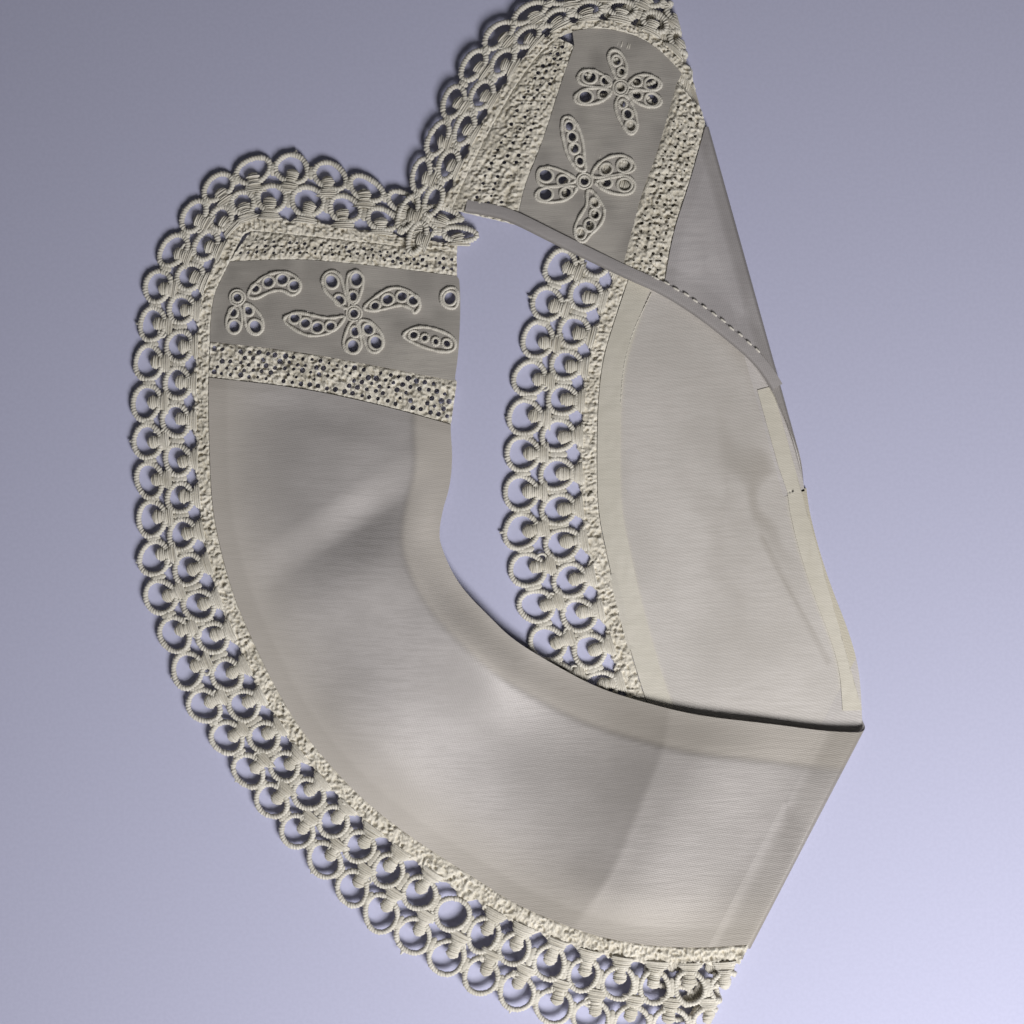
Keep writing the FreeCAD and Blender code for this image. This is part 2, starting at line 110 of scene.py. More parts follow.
LEFT_NECK = [(-12.16, 90.45), (-10.61, 85.49), (-11.85, 75.88), (-10.92, 65.96), (-11.54, 48.91), (-13.09, 38.99), (-14.33, 26.9), (-13.4, 16.67), (-14.33, 7.06), (-16.5, 0.55), (-17.74, -7.51), (-16.5, -12.16), (-13.4, -19.29), (-9.06, -25.49), (-1.93, -32.62), (4.89, -39.44), (16.98, -46.88), (31.24, -54.63), (45.5, -58.97), (61.62, -63.0), (83.94, -65.48), (101.92, -67.96), (114.01, -68.27)]
LEFT_SEAM = [(-78.5, 85.8), (-80.67, 80.53), (-84.39, 73.09), (-88.11, 65.34), (-89.04, 40.54), (-88.42, 12.95), (-87.49, -0.38), (-85.01, -12.47), (-80.98, -26.73), (-74.78, -40.99), (-68.89, -53.08), (-60.83, -67.03), (-49.67, -80.36), (-39.44, -90.59), (-26.42, -100.51), (-14.02, -108.57), (-4.1, -114.77), (4.89, -120.66), (16.98, -125.93), (30.31, -130.89), (45.5, -133.68), (61.62, -134.61), (81.77, -133.06)]
LEFT_FRONT = [(-12.16, 79.91), (-29.83, 81.77), (-51.53, 84.25), (-67.03, 85.8), (-75.71, 86.73)]
LEFT_PANEL_FRONT = [(-82.53, 77.12), (-60.83, 78.05), (-36.03, 75.57), (-12.16, 72.47)]
LEFT_PANEL_REAR = [(-88.42, 52.32), (-60.83, 49.22), (-36.03, 44.57), (-12.16, 39.92)]
LEFT_BODY_FRONT = [(-88.73, 41.16), (-60.83, 38.06), (-36.03, 32.79), (-14.02, 26.59)]
BACK_SEAM = [(61.0, 144.39), (56.97, 128.89), (52.32, 108.74), (46.12, 87.04), (40.23, 69.37), (36.2, 57.28), (33.1, 47.05), (31.55, 33.72), (31.24, 16.67), (31.55, -0.38), (34.34, -13.4), (37.44, -27.66), (41.78, -43.78), (46.43, -58.97), (60.07, -95.86), (77.12, -137.71)]
BACK_NECK = [(96.03, 7.06), (96.96, -0.38), (100.06, -12.47), (104.09, -24.56), (109.05, -36.96), (112.15, -47.81), (113.08, -58.04), (113.39, -68.27)]
RIGHT_NECK = [(-13.71, 92.93), (-1.0, 90.76), (4.89, 88.9), (16.98, 82.7), (29.07, 76.81), (40.23, 71.54), (50.46, 67.2), (61.62, 60.07), (71.54, 52.32), (79.91, 45.19), (85.8, 36.2), (89.83, 27.21), (93.86, 15.74)]
RIGHT_FRONT = [(-13.71, 92.93), (-8.13, 105.64), (-1.31, 118.66), (5.2, 129.82), (12.02, 139.74), (18.53, 145.94)]
RIGHT_SEAM = [(23.18, 147.8), (30.31, 149.04), (40.23, 147.8), (49.22, 143.46), (56.97, 135.4), (63.79, 126.1)]
RIGHT_PANEL_FRONT = [(24.11, 143.46), (20.08, 131.99), (16.05, 118.97), (12.02, 107.81), (8.92, 100.68), (6.13, 88.28)]
RIGHT_PANEL_REAR = [(55.73, 131.99), (49.53, 109.67), (45.5, 99.75), (42.4, 88.59), (38.37, 72.47)]
RIGHT_BODY_FRONT = [(65.34, 121.76), (61.62, 107.81), (58.52, 97.58), (54.49, 85.49), (51.39, 66.89)]
FOLD_LEFT = [(112.77, -68.89), (63.17, -164.06)]
FOLD_RIGHT = [(54.49, 158.34), (96.65, 6.44)]
LEFT_TIPS = [(-8.13, 92.62), (-17.43, 94.48), (-25.18, 96.96), (-31.38, 100.06), (-38.51, 103.16), (-48.43, 107.81), (-59.28, 111.22), (-70.44, 112.15), (-80.98, 107.81), (-90.59, 99.75), (-99.27, 90.45), (-107.33, 76.5), (-110.74, 67.2), (-111.36, 52.01), (-112.91, 38.99), (-113.84, 26.9), (-112.29, 13.57), (-111.05, 3.34), (-111.98, -6.27), (-110.43, -23.63), (-106.71, -35.72), (-101.75, -45.95), (-97.1, -62.07), (-89.04, -71.37), (-80.98, -82.22), (-71.37, -97.1), (-60.83, -107.64), (-49.98, -118.8), (-36.34, -131.82), (-25.18, -138.95), (-12.16, -147.01), (1.17, -153.21), (19.77, -160.34), (38.37, -164.06), (60.07, -164.68), (81.77, -164.06)]
BACK_TIPS = [(32.17, 167.64), (31.55, 152.76), (22.87, 117.11), (18.53, 93.24), (15.43, 78.36), (11.09, 70.3), (7.99, 57.28), (5.51, 44.88), (2.72, 25.04), (1.17, 9.54), (1.17, -9.06), (4.89, -27.66), (10.47, -43.16), (16.98, -67.96), (31.24, -106.71), (48.29, -148.56), (56.97, -170.26)]
RIGHT_TIPS = [(-29.83, 91.69), (-27.66, 97.89), (-25.8, 107.19), (-22.39, 113.39), (-18.36, 121.76), (-15.88, 130.44), (-8.13, 142.84), (1.17, 152.14), (13.57, 158.34), (25.97, 163.3), (38.37, 165.16), (49.22, 162.06), (60.07, 155.24), (75.57, 139.74)]
RIGHT_CUT = [(98.82, 7.06), (81.77, 2.32)]
STEP_LINE = [(55.42, -46.26), (52.94, -63.93), (51.08, -73.85), (43.95, -90.9), (36.82, -108.57), (26.28, -125.0), (16.67, -139.26)]
M1_CENTRE = [(-43.93, 61.0)]
M1_EYES = [(-50.91, 70.92), (-48.43, 65.19), (-43.16, 71.54), (-44.24, 66.27), (-43.62, 55.42), (-44.24, 50.9), (-39.5, 56.1), (-37.14, 52.01), (-37.45, 63.39), (-33.55, 65.34), (-29.08, 66.27), (-25.58, 65.03), (-62.28, 59.58), (-58.97, 58.0), (-55.25, 56.72), (-51.22, 57.07)]
M1_P1 = [(-46.26, 61.93), (-50.91, 65.96), (-53.39, 68.44), (-54.01, 72.16), (-51.22, 74.49), (-48.43, 73.4), (-47.5, 70.3), (-46.26, 66.27), (-45.33, 63.48)]
M1_P2 = [(-44.71, 63.48), (-46.26, 67.82), (-46.26, 71.23), (-45.33, 73.71), (-42.85, 74.33), (-40.99, 72.47), (-41.3, 68.75), (-42.85, 64.41)]
M1_P3 = [(-44.71, 58.83), (-46.57, 54.8), (-47.5, 51.7), (-46.26, 49.22), (-44.09, 48.45), (-41.92, 49.53), (-41.61, 52.32), (-42.54, 56.04), (-43.16, 58.83)]
M1_P4 = [(-42.54, 59.14), (-39.44, 58.83), (-36.65, 56.66), (-34.79, 53.56), (-35.1, 50.15), (-37.58, 48.6), (-40.06, 50.15), (-40.99, 53.56), (-42.23, 56.35)]
M1_S1 = [(-41.61, 62.55), (-37.27, 66.27), (-32.31, 69.22), (-27.66, 68.44), (-23.94, 65.65), (-23.32, 62.86), (-25.33, 60.69), (-26.11, 62.55), (-29.52, 63.79), (-33.55, 62.55), (-38.51, 61.62)]
M1_S2 = [(-46.88, 60.38), (-51.53, 59.3), (-57.11, 60.54), (-61.76, 61.62), (-66.72, 59.3), (-62.38, 56.04), (-58.66, 54.18), (-54.32, 54.03), (-49.67, 55.73), (-46.88, 59.14)]
M0_CENTRE = [(-80.05, 65.96)]
M0_EYES = [(-74.47, 68.75), (-70.44, 70.77), (-66.1, 71.54), (-62.38, 69.68), (-81.29, 61.31), (-76.64, 61.93), (-80.98, 56.97), (-74.47, 56.97)]
M0_S = [(-77.57, 66.58), (-73.85, 71.23), (-69.51, 73.56), (-64.24, 74.02), (-60.52, 71.23), (-60.52, 68.13), (-63.0, 66.27), (-66.1, 68.44), (-70.13, 67.82), (-74.47, 65.34)]
M0_P1 = [(-80.05, 64.1), (-82.84, 61.31), (-83.77, 57.59), (-82.22, 54.8), (-79.43, 55.11), (-78.5, 58.52), (-78.81, 62.24)]
M0_P2 = [(-78.19, 64.41), (-75.4, 63.48), (-72.61, 60.38), (-71.68, 56.66), (-73.54, 54.18), (-76.64, 55.11), (-77.88, 59.14)]
M2_EYES = [(-25.49, 54.34), (-22.08, 53.41), (-18.67, 52.32), (-15.26, 51.7)]
M2_S = [(-29.52, 54.03), (-26.11, 56.51), (-22.08, 56.97), (-17.43, 55.73), (-12.78, 53.56), (-12.47, 49.84), (-15.57, 48.91), (-20.53, 49.84), (-25.18, 51.7)]
M2_P = [(-11.85, 68.75), (-14.64, 69.06), (-17.12, 67.2), (-17.12, 64.41), (-14.95, 62.55), (-11.85, 62.55)]
M2_PE = [(-14.33, 65.65)]
M3_CENTRE = [(27.21, 101.74)]
M3_EYES = [(33.88, 105.33), (39.43, 106.51), (33.88, 101.3), (39.61, 100.5), (20.61, 101.92), (15.22, 103.47), (21.54, 98.11), (15.22, 97.64), (25.82, 107.91), (24.11, 111.84), (23.43, 115.35), (22.56, 118.66), (30.41, 94.95), (30.41, 91.48), (28.83, 87.97), (25.97, 85.49)]
M3_P1 = [(29.07, 103.78), (31.55, 107.19), (34.65, 109.21), (38.99, 109.83), (42.4, 107.81), (43.02, 105.33), (40.54, 104.09), (35.89, 103.47), (30.93, 102.54)]
M3_P2 = [(30.0, 101.61), (35.89, 102.85), (40.23, 103.63), (43.02, 101.3), (42.4, 98.51), (39.92, 97.43), (35.58, 97.89), (31.86, 99.75)]
M3_P3 = [(24.73, 102.54), (20.39, 104.87), (15.74, 106.26), (12.49, 105.02), (12.64, 101.3), (15.12, 99.75), (19.77, 100.37), (24.11, 101.15)]
M3_P4 = [(25.04, 100.37), (19.77, 100.06), (15.12, 99.91), (12.02, 98.2), (12.33, 95.72), (16.67, 94.95), (21.63, 95.72), (24.42, 98.2)]
M3_S1 = [(27.83, 104.4), (27.21, 108.74), (26.9, 113.08), (25.97, 117.11), (23.8, 121.14), (20.7, 121.76), (20.08, 118.35), (20.7, 114.32), (21.94, 109.36), (25.04, 105.02)]
M3_S2 = [(27.83, 99.13), (28.14, 94.48), (26.59, 92.0), (24.11, 87.97), (24.42, 83.94), (26.9, 82.39), (29.07, 85.18), (32.48, 88.28), (33.72, 92.31), (32.17, 95.72), (29.69, 98.82)]
M4_CENTRE = [(38.37, 130.44)]
M4_EYES = [(33.72, 132.61), (28.76, 133.85), (33.1, 128.58), (27.52, 127.65), (43.33, 132.3), (47.98, 131.68), (43.33, 128.27), (47.98, 126.72), (38.68, 135.4), (37.13, 138.81), (38.99, 125.48), (40.54, 122.38), (41.47, 118.66)]
M4_P1 = [(36.2, 131.37), (32.79, 134.78), (28.45, 136.33), (25.04, 134.78), (25.35, 131.99), (29.07, 130.75), (33.41, 130.44)]
M4_P2 = [(36.2, 129.82), (31.55, 130.44), (26.9, 130.13), (23.8, 127.65), (25.04, 125.48), (29.07, 125.17), (33.72, 126.72)]
M4_P3 = [(40.23, 131.37), (43.33, 134.47), (47.67, 134.47), (51.08, 132.3), (50.46, 129.82), (46.12, 129.51), (42.09, 130.13)]
M4_P4 = [(40.54, 129.51), (44.88, 129.82), (49.22, 128.89), (51.39, 126.1), (49.22, 124.24), (45.19, 124.86), (41.78, 127.03)]
M4_S1 = [(37.13, 132.61), (35.89, 136.02), (34.34, 139.74), (35.27, 142.22), (38.06, 141.91), (40.23, 138.5), (40.23, 134.16)]
M4_S2 = [(37.44, 127.96), (36.51, 124.24), (38.37, 119.9), (41.16, 115.56), (43.64, 117.42), (43.33, 121.76), (41.78, 126.1), (39.92, 128.27)]
M5_P = [(6.44, 87.04), (10.47, 90.45), (15.12, 91.07), (18.53, 88.9), (20.08, 85.18)]

# ---------------------------------------------------------------- plan helpers


def arr(p):
    return np.asarray(p, float)


def smooth(pts, passes=3):
    pts = arr(pts)
    for _ in range(passes):
        a, b = pts[:-1], pts[1:]
        mid = np.empty((2 * len(a), 2))
        mid[0::2] = 0.75 * a + 0.25 * b
        mid[1::2] = 0.25 * a + 0.75 * b
        pts = np.vstack([pts[:1], mid, pts[-1:]])
    return pts


def run_of(pts):
    return np.concatenate([[0], np.cumsum(np.hypot(*np.diff(pts, axis=0).T))])


def resample(pts, step=None, n=None):
    pts = arr(pts)
    s = run_of(pts)
    n = n or max(1, int(round(s[-1] / step)))
    t = np.linspace(0, s[-1], n + 1)
    return np.stack([np.interp(t, s, pts[:, 0]), np.interp(t, s, pts[:, 1])], 1)


def side_normals(pts, side, span=2):
    n = len(pts)
    i = np.arange(n)
    d = pts[np.minimum(i + span, n - 1)] - pts[np.maximum(i - span, 0)]
    d /= np.hypot(d[:, 0], d[:, 1])[:, None]
    return np.stack([side * d[:, 1], -side * d[:, 0]], 1)


def offset(pts, w, side):
    return pts + side_normals(pts, side) * w


def inside(p, poly):
    p, poly = arr(p).reshape(-1, 2), arr(poly)
    q = np.roll(poly, -1, 0)
    hit = np.zeros(len(p), bool)
    for a, b in zip(poly, q):
        if a[1] == b[1]:
            continue
        c = (a[1] > p[:, 1]) != (b[1] > p[:, 1])
        hit ^= c & (p[:, 0] < (b[0] - a[0]) * (p[:, 1] - a[1]) / (b[1] - a[1]) + a[0])
    return hit


def distance(p, line, closed=False):
    """Distance of each point to a polyline."""
    p, line = arr(p).reshape(-1, 2), arr(line)
    if closed:
        line = np.vstack([line, line[:1]])
    best = np.full(len(p), 1e9)
    for a, b in zip(line[:-1], line[1:]):
        e = b - a
        ll = max(e @ e, 1e-12)
        t = np.clip(((p - a) @ e) / ll, 0, 1)
        best = np.minimum(best, np.hypot(*(p - a - t[:, None] * e).T))
    return best


def ray(p, n, line):
    line = arr(line)
    a, e = line[:-1], line[1:] - line[:-1]
    det = n[0] * -e[:, 1] + n[1] * e[:, 0]
    det = np.where(np.abs(det) < 1e-9, 1e-9, det)
    r = a - p
    t = (r[:, 0] * -e[:, 1] + r[:, 1] * e[:, 0]) / det
    u = (n[0] * r[:, 1] - n[1] * r[:, 0]) / det
    ok = (t > 2) & (u >= -1e-6) & (u <= 1 + 1e-6)
    return t[ok].min() if ok.any() else None


def step(a, b, x):
    t = np.clip((arr(x) - a) / (b - a), 0, 1)
    return t * t * (3 - 2 * t)


_lattices = {}


def noise(x, y, scale, seed):
    """Smooth seeded value noise, -1 to 1."""
    if seed not in _lattices:
        _lattices[seed] = np.random.RandomState(seed).rand(251, 251) * 2 - 1
    t = _lattices[seed]
    u, v = arr(x) / scale + 5003.37, arr(y) / scale + 5003.71
    i, j = np.floor(u).astype(int), np.floor(v).astype(int)
    fu, fv = u - i, v - j
    fu, fv = fu * fu * (3 - 2 * fu), fv * fv * (3 - 2 * fv)
    i0, i1, j0, j1 = i % 251, (i + 1) % 251, j % 251, (j + 1) % 251
    return (t[i0, j0] * (1 - fu) + t[i1, j0] * fu) * (1 - fv) + (t[i0, j1] * (1 - fu) + t[i1, j1] * fu) * fv


class Fold:
    """A fold line in plan. d() is how far a point is on the collar's side."""

    def __init__(self, line, z):
        self.a, self.b = arr(line[0]), arr(line[1])
        u = self.b - self.a
        self.u = u / np.hypot(*u)
        n = np.array([-self.u[1], self.u[0]])
        self.inward = n if n[0] < 0 else -n
        self.z = z

    def d(self, p):
        return (arr(p).reshape(-1, 2) - self.a) @ self.inward

    def cross(self, rail, d):
        """Where a rail comes to d from the fold, searched from its fold end."""
        v = self.d(rail) - d
        for k in range(len(rail) - 2, -1, -1):
            if v[k] * v[k + 1] <= 0 and v[k] != v[k + 1]:
                t = v[k] / (v[k] - v[k + 1])
                return arr(rail[k]) + (arr(rail[k + 1]) - arr(rail[k])) * t
        return arr(rail[-1])


fold_l, fold_r = Fold(FOLD_LEFT, AXIS_L), Fold(FOLD_RIGHT, AXIS_R)
left_neck, left_seam = smooth(LEFT_NECK), smooth(LEFT_SEAM)
back_neck, back_seam = smooth(BACK_NECK), smooth(BACK_SEAM)
right_neck, right_seam = smooth(RIGHT_NECK), smooth(RIGHT_SEAM)

# ---------------------------------------------------------------- heights

STEP = smooth(STEP_LINE)
BODY_EDGE = smooth(LEFT_BODY_FRONT)


def lump(p, cx, cy, rx, ry, turn, h):
    """A rounded hump, rx by ry mm, turned by turn degrees."""
    a = math.radians(turn)
    x, y = p[:, 0] - cx, p[:, 1] - cy
    u, v = x * math.cos(a) + y * math.sin(a), -x * math.sin(a) + y * math.cos(a)
    return h * np.exp(-((u / rx) ** 2) - (v / ry) ** 2)


def side_of(p, line):
    """Signed distance to a polyline: positive on its right as it runs."""
    p = arr(p).reshape(-1, 2)
    best, sign = np.full(len(p), 1e9), np.zeros(len(p))
    for a, b in zip(line[:-1], line[1:]):
        e = b - a
        t = np.clip(((p - a) @ e) / max(e @ e, 1e-12), 0, 1)
        q = p - a - t[:, None] * e
        r = np.hypot(q[:, 0], q[:, 1])
        s = np.where(e[0] * q[:, 1] - e[1] * q[:, 0] < 0, 1.0, -1.0)
        near = r < best
        best, sign = np.where(near, r, best), np.where(near, s, sign)
    return best * sign


def relief_left(p):
    """Soft folds of the left front section, in mm above its lean."""
    p = arr(p).reshape(-1, 2)
    h = np.zeros(len(p))
    for args in LUMPS:
        h += lump(p, *args)
    q = p - np.array([-42.0, -7.5])
    u, v = q @ np.array([0.832, 0.555]), q @ np.array([-0.555, 0.832])
    h += 3.3 * np.exp(-((u / 25.0) ** 2)) * step(1.0, 14.0, v) * (1 - step(14.0, 56.0, v))
    h += RAMP_H * np.clip(1 - np.maximum(side_of(p, STEP), 0) / RAMP_W, 0, 1) ** 2
    edge = np.minimum(distance(p, left_seam), 30) / 30
    h *= step(0.0, 0.55, edge) * 0.9 + 0.1
    h *= step(0.0, 14.0, side_of(p, BODY_EDGE))
    h *= step(FOLD_D + 1.0, FOLD_D + 32.0, fold_l.d(p))
    h *= 0.3 + 0.7 * step(0.0, 13.0, distance(p, left_neck))
    return np.maximum(h, -0.5)


def z_left(p, layer=0.0):
    """Underside of the left front section plus a layer height."""
    p = arr(p).reshape(-1, 2)
    return LEFT_Z - LEAN * np.maximum(fold_l.d(p), 0) + layer


def relief_right(p):
    p = arr(p).reshape(-1, 2)
    h = 0.5 * noise(p[:, 0], p[:, 1], 26.0, 31)
    return h * step(FOLD_D2, FOLD_D2 + 18, fold_r.d(p))


def relief_back(p):
    p = arr(p).reshape(-1, 2)
    h = 0.8 * noise(p[:, 0] + 0.5 * p[:, 1], p[:, 1], 21.0, 41) + 0.5 * noise(p[:, 0], p[:, 1], 9.0, 43)
    for args in BACK_LUMPS:
        h += lump(p, *args)
    h = np.maximum(h, -0.05) * step(1.0, 9.0, distance(p, back_seam)) * step(0.5, 8.0, distance(p, back_neck))
    h *= step(FOLD_D, FOLD_D + 14, fold_l.d(p)) * step(FOLD_D2, FOLD_D2 + 10, fold_r.d(p))
    cover = step(-6.0, 8.0, -side_of(p, left_neck_line)) * step(-6.0, 8.0, -side_of(p, right_neck_line))
    return h * cover


left_neck_line = left_neck
right_neck_line = right_neck

# ---------------------------------------------------------------- mesh helpers


def build(name, verts, faces, mat, body=None, smooth_shade=True, attrs=None, rim=None):
    """verts in mm. rim is the vertex pairs where a sheet's face turns to its edge. Returns the object."""
    mesh = bpy.data.meshes.new(name)
    v = np.array(verts, float)
    if "edging" in name:  # lace presses flat on the table, it doesn't go through it
        low = v[:, 2] < 0.25
        v[low, 2] = 0.25 * np.exp((v[low, 2] - 0.25) / 0.25)
    v *= 0.001
    if isinstance(faces, np.ndarray):
        faces = faces.tolist()
    mesh.from_pydata(v.tolist(), [], faces)
    mesh.validate()
    mesh.update()
    if smooth_shade:
        mesh.polygons.foreach_set("use_smooth", [True] * len(mesh.polygons))
    if rim:
        sharp = {(min(a, b), max(a, b)) for a, b in rim}
        ev = np.zeros(2 * len(mesh.edges), np.int32)
        mesh.edges.foreach_get("vertices", ev)
        ev = np.sort(ev.reshape(-1, 2), axis=1)
        flags = [(int(a), int(b)) in sharp for a, b in ev]
        mesh.attributes.new("sharp_edge", "BOOLEAN", "EDGE").data.foreach_set("value", flags)
    for key, values in (attrs or {}).items():
        if len(values) == len(mesh.vertices):
            a = mesh.attributes.new(key, "FLOAT", "POINT")
            a.data.foreach_set("value", np.asarray(values, np.float32))
    o = bpy.data.objects.new(name, mesh)
    bpy.context.scene.collection.objects.link(o)
    o.data.materials.append(mat)
    if body:
        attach(o, body)
    return o


def loops_of(tris):
    """Boundary edges of a triangle or quad list, each as it runs in its face."""
    seen = {}
    for f in tris:
        for a, b in zip(f, list(f[1:]) + [f[0]]):
            seen[(a, b)] = seen.get((a, b), 0) + 1
    return [(a, b) for (a, b) in seen if (b, a) not in seen]


def thicken(xy, top, low, faces):
    """A closed thin sheet from a flat triangulation and two heights, and its rim."""
    n = len(xy)
    verts = np.vstack([np.column_stack([xy, top]), np.column_stack([xy, low])])
    faces = [list(f) for f in faces]
    out = [f for f in faces] + [[n + i for i in reversed(f)] for f in faces]
    rim = loops_of(faces)
    for a, b in rim:
        out.append([b, a, n + a, n + b])
    return verts, out, rim + [(n + a, n + b) for a, b in rim]


def triangulate(outline, holes, spacing, seed=5, dense=None):
    """Triangles filling an outline with holes, all given as closed loops."""
    rs = np.random.RandomState(seed)
    outline = arr(outline)
    loops = [outline] + [arr(h) for h in holes]
    lo, hi = outline.min(0), outline.max(0)
    row = spacing * 0.866
    ys = np.arange(lo[1], hi[1], row)
    pts = []
    for k, y in enumerate(ys):
        xs = np.arange(lo[0] + (k % 2) * spacing / 2, hi[0], spacing)
        pts.append(np.stack([xs, np.full(len(xs), y)], 1))
    pts = np.vstack(pts)
    pts += (rs.rand(*pts.shape) - 0.5) * spacing * 0.12
    keep = inside(pts, outline)
    pts = pts[keep]
    for lp in loops:
        pts = pts[distance(pts, lp, True) > spacing * 0.55]
    for h in holes:
        pts = pts[~inside(pts, h)]
    verts, edges = [], []
    for lp in loops:
        s = len(verts)
        verts += [Vector(p) for p in lp]
        edges += [(s + i, s + (i + 1) % len(lp)) for i in range(len(lp))]
    verts += [Vector(p) for p in pts]
    rim_count = len(verts) - len(pts)
    vs, _, fs, _, _, _ = delaunay_2d_cdt(verts, edges, [], 0, 1e-6)
    xy = arr([(v[0], v[1]) for v in vs])
    fs = [f for f in fs if len(f) == 3]
    c = xy[arr(fs).astype(int)].mean(1)
    ok = inside(c, outline)
    for h in holes:
        ok &= ~inside(c, h)
    fs = [f for f, k in zip(fs, ok) if k]
    # counter-clockwise seen from above
    out = []
    for f in fs:
        a, b, d = xy[f[0]], xy[f[1]], xy[f[2]]
        area = (b[0] - a[0]) * (d[1] - a[1]) - (b[1] - a[1]) * (d[0] - a[0])
        longest = max(math.dist(a, b), math.dist(b, d), math.dist(d, a))
        if abs(area) < 1e-7 or (abs(area) / longest < 0.03 and max(f) < rim_count):
            continue
        out.append(list(f) if area > 0 else [f[0], f[2], f[1]])
    used = sorted({i for f in out for i in f})
    remap = {o: k for k, o in enumerate(used)}
    return xy[used], [[remap[i] for i in f] for f in out]


class Bag:
    """Collects many swept pieces into one mesh."""

    def __init__(self):
        self.v, self.f, self.n = [], [], 0

    def add(self, v, f):
        self.v.append(v)
        self.f.append(f + self.n)
        self.n += len(v)

    def sweep(self, pts, wide, high, closed=False, sides=8, ribs=0.0, rib_len=1.1, twist=0.0, start=0.0, hgain=1.0):
        """A ribbed tube along pts (N,3). wide and high are half sizes, in mm."""
        pts = arr(pts)
        n = len(pts)
        i = np.arange(n)
        if closed:
            t = pts[(i + 1) % n] - pts[(i - 1) % n]
            seg = np.hypot(*(pts[(i + 1) % n] - pts)[:, :2].T)
        else:
            t = pts[np.minimum(i + 1, n - 1)] - pts[np.maximum(i - 1, 0)]
            seg = np.concatenate([[0], np.hypot(*np.diff(pts[:, :2], axis=0).T)])
        t /= np.maximum(np.linalg.norm(t, axis=1), 1e-9)[:, None]
        side = np.stack([t[:, 1], -t[:, 0], np.zeros(n)], 1)
        side /= np.maximum(np.linalg.norm(side, axis=1), 1e-9)[:, None]
        up = np.cross(side, t)
        up *= np.sign(up[:, 2:3] + 1e-9)
        total = seg.sum()
        if closed:
            turns = max(1, round(total / rib_len))
            phase = 2 * np.pi * turns * (np.cumsum(seg) / total)
        else:
            phase = 2 * np.pi * np.cumsum(seg) / rib_len
        phase = phase + start
        th = 2 * np.pi * np.arange(sides) / sides
        wide = np.broadcast_to(arr(wide), (n,))
        high = np.broadcast_to(arr(high), (n,))
        g = 1 + ribs * np.cos(phase[:, None] + twist * th[None, :])
        a = (wide[:, None] * np.cos(th)[None, :] * g)[..., None]
        b = (high[:, None] * np.sin(th)[None, :] * (1 + (g - 1) * hgain))[..., None]
        ring = pts[:, None, :] + side[:, None, :] * a + up[:, None, :] * b
        v = ring.reshape(-1, 3)
        m = n if closed else n - 1
        k = np.arange(m)[:, None] * sides
        j = np.arange(sides)[None, :]
        k2 = (np.arange(m)[:, None] + 1) % n * sides
        q = np.stack([k + j, k2 + j, k2 + (j + 1) % sides, k + (j + 1) % sides], -1).reshape(-1, 4)
        if not closed:
            v = np.vstack([v, pts[:1], pts[-1:]])
            c0, c1 = n * sides, n * sides + 1
            jj = np.arange(sides)
            first = np.stack([np.full(sides, c0), jj, (jj + 1) % sides, (jj + 1) % sides], 1)
            last = np.stack([np.full(sides, c1), (n - 1) * sides + (jj + 1) % sides, (n - 1) * sides + jj, (n - 1) * sides + jj], 1)
            q = np.vstack([q, first, last])
        self.add(v, q)

    def build(self, name, mat, body, slot):
        v, f = np.vstack(self.v), np.vstack(self.f)
        tri = f[:, 2] == f[:, 3]
        faces = f[~tri].tolist() + f[tri][:, :3].tolist()
        return build(name, v, faces, mat, body)


# ---------------------------------------------------------------- the edging


class Strip:
    """The edging's flat pattern laid along a seam: f runs along, v across."""

    def __init__(self, rail, side, tips):
        rail = resample(rail, step=1.0)
        for _ in range(2):
            rail[1:-1] = (rail[:-2] + rail[1:-1] * 2 + rail[2:]) / 4
        n = side_normals(rail, side, 3)
        tips = smooth(tips, 2)
        w = [ray(p, q, tips) for p, q in zip(rail, n)]
        w = arr([FULL if x is None else min(x, FULL * 1.12) for x in w])
        for _ in range(14):
            w[1:-1] = (w[:-2] + w[1:-1] + w[2:]) / 3
            n[1:-1] = (n[:-2] + n[1:-1] + n[2:]) / 3
        n /= np.hypot(n[:, 0], n[:, 1])[:, None]
        self.rail, self.n, self.w = rail, n, w
        row = rail + n * (w * OUTER)[:, None]
        self.s = run_of(row)
        self.total = self.s[-1]
        self.count = max(3, int(round(self.total / PITCH)))

    def at(self, f, v):
        f, v = np.broadcast_arrays(arr(f), arr(v))
        x = f * self.total
        g = lambda c: np.interp(x, self.s, c)
        px, py, nx, ny, w = g(self.rail[:, 0]), g(self.rail[:, 1]), g(self.n[:, 0]), g(self.n[:, 1]), g(self.w)
        # past an end, run straight on
        over = np.where(x > self.total, x - self.total, np.where(x < 0, x, 0))
        t0, t1 = self.rail[1] - self.rail[0], self.rail[-1] - self.rail[-2]
        t0, t1 = t0 / np.hypot(*t0), t1 / np.hypot(*t1)
        tx, ty = np.where(x < 0, t0[0], t1[0]), np.where(x < 0, t0[1], t1[1])
        k = w * v
        return np.stack([px + nx * k + tx * over, py + ny * k + ty * over], -1)

    def width(self, f):
        return np.interp(arr(f) * self.total, self.s, self.w)


def wrap(v, fold, lace_top, lace_low=0.86):
    """Lace past a fold line turned round the fold and on under it."""
    zc, r = (lace_top + lace_low) / 2, (lace_top - lace_low) / 2
    c = r + 0.80
    out = v.copy()
    d = fold.d(v[:, :2])
    over = c - d
    m = over > 0
    q = np.clip(r + v[:, 2] - lace_top, 0.04, r + lace_low - 0.03)
    th = np.minimum(over / r, np.pi)
    nd = np.where(over / r > np.pi, c + (over - np.pi * r), c - q * np.sin(th))
    out[m, :2] = v[m, :2] + fold.inward * (nd - d)[m][:, None]
    out[m, 2] = (zc + q * np.cos(th))[m]
    return out


